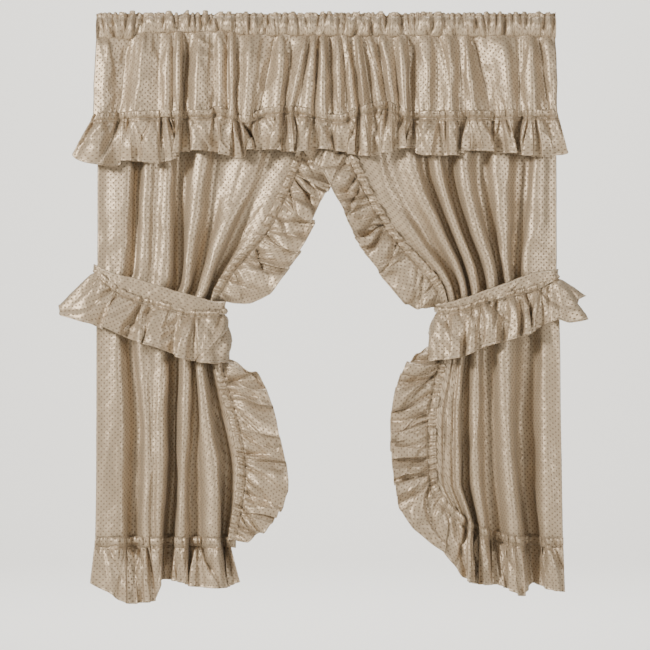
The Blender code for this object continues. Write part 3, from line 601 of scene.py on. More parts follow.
class Creases:
    """Creases that leave a row of stitching: steep on one side and soft on the other, as laid pleats."""

    def __init__(self, seed: int, length: float, sizes: CreaseSizes) -> None:
        """Draw the creases.

        Args:
            seed: Seed of the drawing.
            length: Length of the row of stitching, in metres.
            sizes: How far apart the creases are, how deep, how long, and how wide on each side.
        """
        draw = np.random.default_rng(seed)
        count = max(2, round(length / sizes.pitch))
        self.places = (np.arange(count) + draw.uniform(0.05, 0.95, count)) * length / count
        self.depths = draw.uniform(*sizes.depth, count)
        self.reaches = draw.uniform(*sizes.reach, count)
        self.slants = draw.uniform(-0.22, 0.22, count)
        self.sides = np.where(draw.uniform(0, 1, count) < 0.5, -1.0, 1.0)
        self.steep, self.soft = sizes.widths
        self.level = float(self.depths.mean()) * sum(sizes.widths) / sizes.pitch

    def fan(self, knot_pitch: float, most: float, base: float) -> None:
        """Turn the creases so that they fan out from knots along the row.

        Args:
            knot_pitch: Distance between knots.
            most: Slant of the creases half-way between two knots.
            base: Slant that all the creases share.
        """
        beat = self.places / knot_pitch
        self.slants = self.slants + base + most * 2 * (beat - np.rint(beat))

    def at(self, place: np.ndarray, away: np.ndarray) -> np.ndarray:
        """Read the height of the cloth over its usual level.

        Args:
            place: Places along the row.
            away: Distances from the row.

        Returns:
            Heights in metres.
        """
        rise = np.full(np.broadcast(place, away).shape, self.level)
        for middle, depth, reach, slant, side in zip(
                self.places, self.depths, self.reaches, self.slants, self.sides):
            aside = side * (place - middle - slant * away)
            width = np.where(aside > 0, self.soft + 0.10 * away, self.steep + 0.01 * away)
            rise -= depth * np.exp(-np.abs(aside) / width - (away / reach) ** 2)
        return rise


def wrinkled(points: np.ndarray, wrinkles: tuple[Wrinkle, ...]) -> np.ndarray:
    """Work out the heights of the listed wrinkles.

    Args:
        points: A grid of points, seen from the front.
        wrinkles: The wrinkles.

    Returns:
        The height at each point, in metres.
    """
    across = points[..., 0] / GRID
    down = -points[..., 2] / GRID
    height = np.zeros(points.shape[:2])
    for wrinkle in wrinkles:
        turn = math.radians(wrinkle.degrees)
        right, low = across - wrinkle.across, down - wrinkle.down
        along = (right * math.cos(turn) + low * math.sin(turn)) / wrinkle.half_length
        aside = (low * math.cos(turn) - right * math.sin(turn)) / wrinkle.half_width
        height += wrinkle.height * MM * np.exp(-along ** 2 - aside ** 2)
    return height


def pocket_seam(across: np.ndarray) -> np.ndarray:
    """How far down the seam under the pocket lies, in grid cells."""
    return read(POCKET_SEAM, "down", across, by="across")


def wrap(crest_x: np.ndarray, crest_y: np.ndarray, columns: np.ndarray,
         crisp: float = 0.0) -> tuple[np.ndarray, np.ndarray]:
    """Lay cloth through rows of crests, round at each crest and steep between them.

    Args:
        crest_x: Places across, a row for each crest and a column for each level.
        crest_y: Depths, likewise.
        columns: Crest numbers to lay points at.
        crisp: Share of the section that is flat and sharp, where the rest is round and steep.

    Returns:
        Places across and depths of the points.
    """
    first = np.clip(np.floor(columns).astype(int), 0, len(crest_x) - 2)
    t = (columns - first)[:, None]
    span_x = crest_x[first + 1] - crest_x[first]
    span_y = crest_y[first + 1] - crest_y[first]
    slope = np.abs(span_y) / np.maximum(np.abs(span_x), 1e-6)
    steep = np.clip(0.55 * slope, 0, 1.05) * (1 - 0.8 * crisp)
    x = crest_x[first] + span_x * (t + steep * np.sin(2 * math.pi * t) / (2 * math.pi))
    y = crest_y[first] + span_y * ((1 - crisp) * (0.5 - 0.5 * np.cos(math.pi * t)) + crisp * t)
    return x, y


def even_columns(lay: object, last: int, count: int) -> np.ndarray:
    """Choose column numbers that lie at even steps over the cloth.

    Args:
        lay: A function from column numbers to a grid of points.
        last: The last column number.
        count: How many columns to choose.

    Returns:
        The column numbers.
    """
    dense = np.linspace(0, last, last * 40 + 1)
    length = travelled(lay(dense), 0).mean(axis=1)
    return np.interp(np.linspace(0, length[-1], count), length, dense)


@dataclass
class Cloth:
    """A laid cloth: its points, its flat pattern in metres, its hems and its rows of stitching."""

    points: np.ndarray
    flat: np.ndarray
    hem: np.ndarray
    stitch: np.ndarray
    closed: bool = False


@dataclass(frozen=True)
class SatinDobby:
    """Taupe satin-ground dobby: a lustrous ground with small dull dots in a diamond repeat."""

    ground: tuple[float, float, float] = (0.358, 0.281, 0.193)
    dot: tuple[float, float, float] = (0.165, 0.119, 0.071)
    thread: tuple[float, float, float] = (0.50, 0.42, 0.32)
    repeat: float = 0.0107
    dot_size: float = 0.137
    ground_roughness: float = 0.43
    dot_roughness: float = 0.80
    ground_lustre: float = 0.46
    dot_lustre: float = 0.05
    dot_blur: float = 0.04
    dye_scale: float = 24.0
    dye_shades: tuple[float, float] = (0.93, 1.08)
    slub_scale: float = 560.0
    slub_shades: tuple[float, float] = (0.80, 1.22)
    thread_scale: tuple[float, float, float] = (2400.0, 300.0, 1.0)
    thread_height: float = 0.00005
    crumple_scale: float = 62.0
    crumple_height: float = 0.0011
    dot_sink: float = 0.00012
    stitch_pitch: float = 0.0032
    stitch_share: tuple[float, float] = (0.66, 0.74)
    stitch_half_width: tuple[float, float] = (0.0004, 0.0008)
    stitch_height: float = 0.0002

    def material(self, name: str, turn: float = 0.0) -> bpy.types.Material:
        """Build the cloth's material.

        Args:
            name: Name of the material.
            turn: Angle of the cloth's grain on the piece, in radians.

        Returns:
            The material.
        """
        material = bpy.data.materials.new(name)
        material.use_nodes = True
        tree = material.node_tree
        shader = tree.nodes["Principled BSDF"]
        feed(shader, {"Specular IOR Level": 0.4, "Sheen Weight": 0.09, "Sheen Roughness": 0.5,
                      "Sheen Tint": (1.0, 0.92, 0.82, 1.0)})

        sketch = NodeSketch(tree)
        flat = sketch.node("ShaderNodeUVMap", uv_map="flat")
        grain = sketch.node("ShaderNodeMapping")
        feed(grain, {"Rotation": (0.0, 0.0, turn)})
        sketch.join(flat, "UV", grain, "Vector")
        dots = self._dots(sketch, grain)
        seam = self._stitches(sketch, grain)
        dye = self._noise(sketch, grain, self.dye_scale, 0.35, 0.65)
        slub = self._noise(sketch, grain, self.slub_scale, 0.25, 0.75)

        ground = sketch.mix_colour(dye, *map(self._shade, self.dye_shades))
        slubbed = sketch.mix_colour(slub, *map(self._shade, self.slub_shades))
        ground = sketch.mix_colour(0.5, ground, slubbed)
        body = sketch.mix_colour(dots, ground, self.dot)
        colour = sketch.mix_colour(seam, body, self.thread)
        tree.links.new(colour, shader.inputs["Base Color"])
        gloss = sketch.spread(dots, 0.0, 1.0, self.ground_roughness, self.dot_roughness)
        tree.links.new(gloss, shader.inputs["Roughness"])
        lustre = sketch.spread(dots, 0.0, 1.0, self.ground_lustre, self.dot_lustre)
        tree.links.new(lustre, shader.inputs["Metallic"])
        self._relief(sketch, grain, dots, seam, shader)
        return material

    def _shade(self, factor: float) -> tuple[float, ...]:
        """The ground's colour, lighter or darker."""
        return tuple(part * factor for part in self.ground)

    def _dots(self, sketch: "NodeSketch", grain: bpy.types.Node) -> bpy.types.NodeSocket:
        """Draw two square lattices of dots, the second half a repeat aside.

        Args:
            sketch: The material's nodes.
            grain: The node that gives places on the cloth.

        Returns:
            A mask, 1 on a dot.
        """
        distances = []
        for shift in (0.0, 0.5):
            scaled = sketch.vector("MULTIPLY_ADD", grain.outputs["Vector"],
                                   (1 / self.repeat,) * 3, (shift, shift, 0.0))
            cell = sketch.vector("FRACTION", scaled)
            middle = sketch.vector("SUBTRACT", cell, (0.5, 0.5, 0.0))
            distances.append(sketch.length(sketch.vector("MULTIPLY", middle, (1.0, 0.85, 0.0))))
        nearest = sketch.math("MINIMUM", distances[0], distances[1])
        return sketch.spread(nearest, self.dot_size - self.dot_blur, self.dot_size + self.dot_blur,
                             1.0, 0.0)

    def _noise(self, sketch: "NodeSketch", grain: bpy.types.Node, scale: float, low: float,
               high: float) -> bpy.types.NodeSocket:
        """Draw the unevenness of the dye, the yarn or the surface.

        Args:
            sketch: The material's nodes.
            grain: The node that gives places on the cloth.
            scale: How fine it is.
            low: The noise that gives 0.
            high: The noise that gives 1.

        Returns:
            A mask from 0 to 1.
        """
        noise = sketch.node("ShaderNodeTexNoise")
        feed(noise, {"Scale": scale, "Detail": 2.0})
        sketch.join(grain, "Vector", noise, "Vector")
        return sketch.spread(noise.outputs["Fac"], low, high, 0.0, 1.0)

    def _stitches(self, sketch: "NodeSketch", grain: bpy.types.Node) -> bpy.types.NodeSocket:
        """Draw short stitches along each row, from the distance kept on the cloth.

        Args:
            sketch: The material's nodes.
            grain: The node that gives places on the cloth.

        Returns:
            A mask, 1 on a stitch.
        """
        distance = sketch.node("ShaderNodeAttribute", attribute_name="stitch")
        away = sketch.math("ABSOLUTE", distance.outputs["Fac"])
        line = sketch.spread(away, *self.stitch_half_width, 1.0, 0.0)
        parts = sketch.node("ShaderNodeSeparateXYZ")
        sketch.join(grain, "Vector", parts, "Vector")
        beat = sketch.math("MULTIPLY", parts.outputs["X"], 1 / self.stitch_pitch)
        gate = sketch.spread(sketch.math("FRACT", beat), *self.stitch_share, 1.0, 0.0)
        return sketch.math("MULTIPLY", line, gate)

    def _relief(self, sketch: "NodeSketch", grain: bpy.types.Node, dots: bpy.types.NodeSocket,
                seam: bpy.types.NodeSocket, shader: bpy.types.Node) -> None:
        """Bump the surface with sunk dots, raised stitches, fine threads and a soft crumple.

        Args:
            sketch: The material's nodes.
            grain: The node that gives places on the cloth.
            dots: The dots' mask.
            seam: The stitches' mask.
            shader: The shader whose normal is bumped.
        """
        threads = sketch.node("ShaderNodeMapping")
        feed(threads, {"Scale": self.thread_scale})
        sketch.join(grain, "Vector", threads, "Vector")
        thread = self._noise(sketch, threads, 1.0, 0.2, 0.8)
        crumple = self._noise(sketch, grain, self.crumple_scale, 0.1, 0.9)
        height = sketch.math("MULTIPLY", thread, self.thread_height)
        rises = ((crumple, self.crumple_height), (dots, -self.dot_sink), (seam, self.stitch_height))
        for mask, rise in rises:
            height = sketch.math("MULTIPLY_ADD", mask, rise, height)
        bump = sketch.node("ShaderNodeBump")
        feed(bump, {"Strength": 1.0, "Distance": 1.0})
        sketch.tree.links.new(height, bump.inputs["Height"])
        sketch.join(bump, "Normal", shader, "Normal")


def feed(node: bpy.types.Node, values: dict[str, object]) -> None:
    """Set a node's inputs by name."""
    for name, value in values.items():
        node.inputs[name].default_value = value


class NodeSketch:
    """Adds and joins shader nodes in one tree."""

    def __init__(self, tree: bpy.types.NodeTree) -> None:
        """Work on the given tree."""
        self.tree = tree

    def node(self, kind: str, **settings: object) -> bpy.types.Node:
        """Add a node.

        Args:
            kind: Blender's name of the kind.
            settings: Properties to set on it.

        Returns:
            The node.
        """
        made = self.tree.nodes.new(kind)
        for name, value in settings.items():
            setattr(made, name, value)
        return made

    def join(self, source: bpy.types.Node, output: str, target: bpy.types.Node, name: str) -> None:
        """Link an output to an input, both by name."""
        self.tree.links.new(source.outputs[output], target.inputs[name])

    def _feed(self, node: bpy.types.Node, values: tuple[object, ...]) -> None:
        """Link sockets and set plain values on a node's inputs, in order.

        Args:
            node: The node.
            values: A socket or a plain value for each input.
        """
        for socket, value in zip(node.inputs, values):
            if isinstance(value, bpy.types.NodeSocket):
                self.tree.links.new(value, socket)
            else:
                socket.default_value = value

    def math(self, operation: str, *values: object) -> bpy.types.NodeSocket:
        """Work out a number from others.

        Args:
            operation: Blender's name of the operation.
            values: What it works on.

        Returns:
            The number.
        """
        made = self.node("ShaderNodeMath", operation=operation)
        self._feed(made, values)
        return made.outputs["Value"]

    def vector(self, operation: str, *values: object) -> bpy.types.NodeSocket:
        """Work out a vector from others.

        Args:
            operation: Blender's name of the operation.
            values: What it works on.

        Returns:
            The vector.
        """
        made = self.node("ShaderNodeVectorMath", operation=operation)
        self._feed(made, values)
        return made.outputs["Vector"]

    def length(self, value: bpy.types.NodeSocket) -> bpy.types.NodeSocket:
        """Measure a vector.

        Args:
            value: The vector.

        Returns:
            Its length.
        """
        made = self.node("ShaderNodeVectorMath", operation="LENGTH")
        self._feed(made, (value,))
        return made.outputs["Value"]

    def spread(self, value: bpy.types.NodeSocket, low: float, high: float, to_low: float,
               to_high: float) -> bpy.types.NodeSocket:
        """Spread a value smoothly from one range to another.

        Args:
            value: The value.
            low: Start of the range that it is in.
            high: End of that range.
            to_low: What the start becomes.
            to_high: What the end becomes.

        Returns:
            The spread value.
        """
        made = self.node("ShaderNodeMapRange", interpolation_type="SMOOTHSTEP")
        self._feed(made, (value, low, high, to_low, to_high))
        return made.outputs["Result"]

    def mix_colour(self, share: object, first: object, second: object) -> bpy.types.NodeSocket:
        """Mix two colours by a share, each a socket or plain numbers.

        Args:
            share: Share of the second colour.
            first: The first colour.
            second: The second colour.

        Returns:
            The mixed colour.
        """
        made = self.node("ShaderNodeMix", data_type="RGBA")
        for number, value in ((0, share), (6, first), (7, second)):
            if isinstance(value, tuple):
                value = (*value, 1.0)
            if isinstance(value, bpy.types.NodeSocket):
                self.tree.links.new(value, made.inputs[number])
            else:
                made.inputs[number].default_value = value
        return made.outputs[2]


@dataclass
class SewingRoom:
    """Turns laid cloths into finished pieces that ride with the set."""

    finish: SatinDobby
    thickness: float = 0.0005
    hem_share: float = 2.6
    hem_levels: int = 10
    weld_distance: float = 0.00002
    body: str = "root"
    slot: str = "curtain_cloth"

    def __post_init__(self) -> None:
        """Dye the cloth: one material for what hangs along the grain, one for what is cut across."""
        self.lengthwise = self.finish.material("satin_dobby")
        self.crosswise = self.finish.material("satin_dobby_crosswise", math.pi / 2)

    def piece(self, node: str, cloth: Cloth, flat: tuple[float, float], rests_on: tuple[str, ...],
              held: Held = Held.GATHERED, crosswise: bool = False) -> None:
        """Make one cloth of the set in the place of its solid.

        Args:
            node: Name of the solid that the piece stands for.
            cloth: The laid cloth.
            flat: Width and length that the cloth was cut to; not used.
            rests_on: What it hangs from or lies on; not used.
            held: How the cloth is held; not used.
            crosswise: Whether its grain runs along the strip.
        """
        piece = self._grid(f"{node}_cloth", cloth)
        piece.data.materials.append(self.crosswise if crosswise else self.lengthwise)
        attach(piece, self.body)
        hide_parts(node)
        LOG.info("%s: %d faces", piece.name, len(piece.data.polygons))

    def _grid(self, name: str, cloth: Cloth) -> bpy.types.Object:
        """Lay a grid on the cloth's points, with its flat pattern, its stitching and a thickness.

        Args:
            name: Name of the piece.
            cloth: The laid cloth.

        Returns:
            The finished grid.
        """
        across, down = cloth.points.shape[:2]
        bpy.ops.object.select_all(action="DESELECT")
        bpy.ops.mesh.primitive_grid_add(x_subdivisions=across - 1, y_subdivisions=down - 1, size=1)
        piece = bpy.context.object
        piece.name = name
        mesh = piece.data
        mesh.name = name
        places = np.empty(len(mesh.vertices) * 3)
        mesh.vertices.foreach_get("co", places)
        places = places.reshape(-1, 3) + 0.5
        i = np.rint(places[:, 0] * (across - 1)).astype(int)
        j = np.rint(places[:, 1] * (down - 1)).astype(int)
        mesh.vertices.foreach_set("co", cloth.points[i, j].ravel())
        corner = np.empty(len(mesh.loops), dtype=int)
        mesh.loops.foreach_get("vertex_index", corner)
        mesh.uv_layers[0].name = "flat"
        mesh.uv_layers["flat"].data.foreach_set("uv", cloth.flat[i, j][corner].ravel())
        stitch = mesh.attributes.new("stitch", "FLOAT", "POINT")
        stitch.data.foreach_set("value", cloth.stitch[i, j].astype(np.float32))
        self._hem_weights(piece, cloth.hem[i, j])
        if cloth.closed:
            bpy.ops.object.mode_set(mode="EDIT")
            bpy.ops.mesh.select_all(action="SELECT")
            bpy.ops.mesh.remove_doubles(threshold=self.weld_distance)
            bpy.ops.object.mode_set(mode="OBJECT")
        bpy.ops.object.shade_smooth()
        wall = piece.modifiers.new("Cloth", "SOLIDIFY")
        wall.thickness = self.thickness * self.hem_share
        wall.offset = 0.0
        wall.use_even_offset = False
        wall.vertex_group = "hem"
        wall.thickness_vertex_group = 1 / self.hem_share
        bpy.ops.object.modifier_apply(modifier=wall.name)
        return piece

    def _hem_weights(self, piece: bpy.types.Object, hem: np.ndarray) -> None:
        """Keep how much of each point lies in a turned hem.

        Args:
            piece: The grid that the cloth is laid on.
            hem: The share of each point, from 0 to 1.
        """
        group = piece.vertex_groups.new(name="hem")
        levels = np.rint(np.clip(hem, 0, 1) * self.hem_levels).astype(int)
        for level in np.unique(levels):
            group.add(np.flatnonzero(levels == level).tolist(), level / self.hem_levels, "REPLACE")


@dataclass
class Ruffle:
    """A gathered strip sewn along a host's edge: a small header frill, stitching and a skirt.

    edge, reach, normal and tangent hold a vector, and swing a length, for each point along the
    host's edge; reach goes from the edge to the strip's rim. Lengths are in metres.
    """

    edge: np.ndarray
    reach: np.ndarray
    swing: np.ndarray
    normal: np.ndarray
    tangent: np.ndarray
    seed: int
    header: float = HEADER
    lap: float = 0.0030
    lift: float = 0.0036
    pitch: float = 0.045
    knot_pitch: float = 0.070
    knots: float = 0.72
    sweep: float = 0.0
    slant: float = 0.0
    relief: float = 1.0
    hem_width: float = 0.0038
    topple: float = 1.2
    least_skirt: float = 0.004
    free_swing: float = 0.006
    end_calm: float = 0.030
    knot_drift: Swell = Swell(0.13, 1.0, 0.35)
    least_sweep: float = 0.4
    sweep_drift: Swell = Swell(0.17, 1.0, 1.6, (20, 0))
    side_beat: float = 2.7
    side_share: float = 0.9
    belly: float = 0.005
    belly_share: float = 0.6
    pinch: float = 0.42
    pinch_fade: float = 0.014
    hem_ridge: float = 0.0007
    hem_groove: tuple[float, float] = (0.0014, 0.0012)
    stitch_groove: tuple[float, float] = (0.0030, 0.0022)
    long_gathers: CreaseSizes = CreaseSizes(0.021, (0.004, 0.015), (0.030, 0.100), (0.0018, 0.0085))
    short_gathers: CreaseSizes = CreaseSizes(0.0088, (0.0020, 0.0060), (0.008, 0.030), (0.0013, 0.0036))
    long_fan: float = 0.60
    short_fan: float = 0.45
    pinches: Swell = Swell(0.0085, 0.060, 0.0018)
    dents: Swell = Swell(0.036, 0.034, 0.0034, (9, 0))
    short_ridges: Swell = Swell(0.022, 0.030, 0.0018, (0, 3), 0.3)
    frill_bumps: Swell = Swell(0.0062, 1.0, 0.0030, (70, 0))
    frill_rims: tuple[Swell, Swell] = (
        Swell(0.011, 1.0, 0.0022, (31, 0)), Swell(0.0052, 1.0, 0.0010, (11, 0)),
    )

    def __post_init__(self) -> None:
        """Work out the strip's length and its uneven gathers."""
        self.arc = travelled(self.edge, 0)
        self.length = float(self.arc[-1])
        draw = np.random.default_rng(self.seed)
        self.count = max(2, round(self.length / self.pitch))
        shares = np.concatenate([[0.0], np.cumsum(draw.uniform(0.4, 1.8, self.count))])
        self.starts = shares / shares[-1]
        self.heights = draw.uniform(0.9, 1.7, self.count + 1)
        self.leans = draw.uniform(-1.0, 1.0, self.count + 1)
        self.pleats = Grain(self.seed)
        self.crumple = Grain(self.seed + 500)
        self.long_creases = Creases(self.seed + 40, self.length, self.long_gathers)
        self.short_creases = Creases(self.seed + 41, self.length, self.short_gathers)
        self.long_creases.fan(self.knot_pitch, self.long_fan, self.slant)
        self.short_creases.fan(self.knot_pitch, self.short_fan, 0.6 * self.slant)

    def sample(self, values: np.ndarray, place: np.ndarray) -> np.ndarray:
        """Read values at places along the edge.

        Args:
            values: A number or a vector for each point of the edge.
            place: The places, as lengths along the edge.

        Returns:
            The values there.
        """
        if values.ndim == 1:
            return np.interp(place, self.arc, values)
        return between(self.arc, values, place)

    def lay(self, steps: int, header_rows: int = 6, skirt_rows: int = 26) -> Cloth:
        """Lay the strip.

        Args:
            steps: Points along the strip.
            header_rows: Rows of points in the header frill.
            skirt_rows: Rows of points from the stitching to the rim.

        Returns:
            The laid cloth.
        """
        numbers = np.arange(self.count + 1)
        gather = np.linspace(0, self.count, steps)[:, None]
        run = np.linspace(0, 1, skirt_rows + 1)
        head = -np.linspace(1, 0, header_rows, endpoint=False)
        width = np.concatenate([head, 0.4 * run + 0.3 * (1 - np.cos(math.pi * run))])[None, :]
        skirt = np.clip(width, 0, 1)
        frill = np.clip(-width, 0, 1)

        rim_place = smooth(numbers, self.starts, gather) * self.length
        beat = rim_place / self.knot_pitch + self.knot_drift.round(self.pleats, rim_place, 0.5)
        pull = self.knots * self.knot_pitch / (2 * math.pi) * np.sin(2 * math.pi * beat)
        drift = self.sweep_drift.round(self.crumple, rim_place, 2.0)
        pull = pull + self.sweep * (self.least_sweep + drift)
        pull = pull * ease(np.minimum(rim_place, self.length - rim_place) / self.end_calm)
        place = np.clip(rim_place - pull * (1 - ease(skirt / 0.8)), 0, self.length)

        edge = self.sample(self.edge, place)
        reach = self.sample(self.reach, place)
        normal = unit(self.sample(self.normal, place))
        tangent = unit(self.sample(self.tangent, place))
        swing = self.sample(self.swing, place)
        way = unit(reach)
        stitch = edge + way * (self.header + SEAM_GAP)
        skirt_length = np.linalg.norm(reach, axis=-1) - self.header - SEAM_GAP
        skirt_length = np.maximum(skirt_length, self.least_skirt)
        from_stitch = np.where(width < 0, -frill * (self.header + SEAM_GAP + self.lap),
                               skirt * skirt_length)
        to_rim = skirt_length * (1 - skirt)
        loose = np.clip(swing / self.free_swing, 0.12, 1.0)

        height = swing * smooth(numbers, self.heights, gather)
        wave = self._wave(gather)
        folds = (SEAM_RIPPLE + np.maximum(height - SEAM_RIPPLE, 0) * skirt ** 0.65) * wave
        side_folds = self.pleats.at(gather * self.side_beat, 0.8 * skirt + 7)
        side_folds = side_folds * height * self.side_share * skirt ** 0.7
        belly = np.sin(math.pi * skirt) * np.minimum(self.belly, height * self.belly_share)
        gathers = self._gathers(place, from_stitch, frill)
        dents = self._dents(rim_place, from_stitch) * (0.35 + 0.65 * skirt ** 0.5) * (width > 0)
        hem_line = (self.hem_ridge * ease(1.5 - to_rim / self.hem_width)
                    + self._groove(to_rim - self.hem_width, *self.hem_groove))
        stitch_line = self._groove(from_stitch, *self.stitch_groove)
        crown = np.sin(0.85 * math.pi * frill)
        rise = (folds + side_folds + gathers + dents + belly) * loose + self.lift * (crown + 0.3 * frill)
        rise = rise + (hem_line + stitch_line) * loose
        rise = rise + self.frill_bumps.round(self.pleats, place, 0.3 * frill) * frill * loose
        wobble = sum(rim.round(self.pleats, place, 0.0) for rim in self.frill_rims) * frill * loose

        lean = smooth(numbers, self.leans, gather) * self.topple * wave * skirt
        sideways = height * (lean - self.pinch * np.sin(4 * math.pi * gather) * skirt)
        points = (stitch + way * (from_stitch - wobble)[..., None] + normal * rise[..., None]
                  + tangent * (sideways * loose)[..., None])

        middle = travelled(points, 0)[:, header_rows + skirt_rows // 2]
        flat = pattern(middle[:, None], from_stitch)
        hem = ease(1.6 - to_rim / self.hem_width) * (width > 0) + 0.5 * frill
        rows = np.minimum(np.abs(from_stitch), np.abs(to_rim - self.hem_width))
        return Cloth(points, flat, hem, rows)

    def _groove(self, aside: np.ndarray, depth: float, width: float) -> np.ndarray:
        """Height over a sunk row of stitching, from the distance to it."""
        return -depth * np.exp(-(aside / width) ** 2)

    def _wave(self, gather: np.ndarray) -> np.ndarray:
        """Height of the folds: broad round ridges with narrow hollows between them."""
        broad = 2 * np.abs(np.cos(math.pi * (gather - 0.25))) ** 0.5 - 1
        return 0.25 * np.sin(2 * math.pi * gather) + 0.75 * broad

    def _gathers(self, place: np.ndarray, from_stitch: np.ndarray, frill: np.ndarray) -> np.ndarray:
        """Fold the cloth at the stitching, fanning out down the skirt and standing up in the frill.

        Args:
            place: Places along the edge.
            from_stitch: Distances from the stitching, negative in the frill.
            frill: Share of the way up the frill.

        Returns:
            Heights in metres.
        """
        away = np.maximum(from_stitch, 0)
        fine = self.pinches.round(self.pleats, place, from_stitch) * np.exp(-away / self.pinch_fade)
        folds = self.long_creases.at(place, away) + self.short_creases.at(place, away)
        folds = self.relief * folds + fine
        sewn = 0.35 + 0.65 * np.minimum(np.abs(from_stitch) / 0.006, 1.0)
        return folds * sewn * (1 - 0.4 * frill)

    def _dents(self, place: np.ndarray, from_stitch: np.ndarray) -> np.ndarray:
        """Soft dents and short creases over the skirt."""
        small = self.short_ridges.ridged(self.crumple, place, from_stitch)
        return small + self.dents.round(self.crumple, place, from_stitch)


def rim_reach(rows: tuple[RimPoint, ...], keys: np.ndarray,
              edge: np.ndarray) -> tuple[np.ndarray, np.ndarray]:
    """Read a rim table.

    Args:
        rows: The table.
        keys: Places to read it at.
        edge: Points of the host's edge at those places.

    Returns:
        Vectors from the edge to the rim, and swings, in metres.
    """
    rim_x = read(rows, "rim_across", keys) * GRID
    rim_z = -read(rows, "rim_down", keys) * GRID
    reach = np.stack([rim_x - edge[:, 0], read(rows, "back", keys) * MM, rim_z - edge[:, 2]], axis=-1)
    return reach, read(rows, "swing", keys) * MM


def lower_ruffle(edge: np.ndarray, opened: np.ndarray, rows: tuple[RimPoint, ...], flatten: float,
                 tilt: float, seed: int, **fullness: float) -> Ruffle:
    """The ruffle along a lower edge, whose rim opens the host's folds and keeps part of them.

    Args:
        edge: Points along the host's lower edge.
        opened: Where each point would lie across if the folds were opened out.
        rows: The rim's table.
        flatten: Share of the host's folds that the rim loses.
        tilt: How far the rim hangs back, in metres.
        seed: Seed of its gathers.
        fullness: Other sizes of the ruffle that differ from the usual ones.

    Returns:
        The ruffle, ready to lay.
    """
    reach, swing = rim_reach(rows, opened, edge)
    reach[:, 1] += flatten * (edge[:, 1].mean() - edge[:, 1]) + tilt
    normal = np.tile(FRONT, (len(edge), 1))
    tangent = np.tile(np.array((1.0, 0.0, 0.0)), (len(edge), 1))
    return Ruffle(edge, reach, swing, normal, tangent, seed, topple=0.9, **fullness)


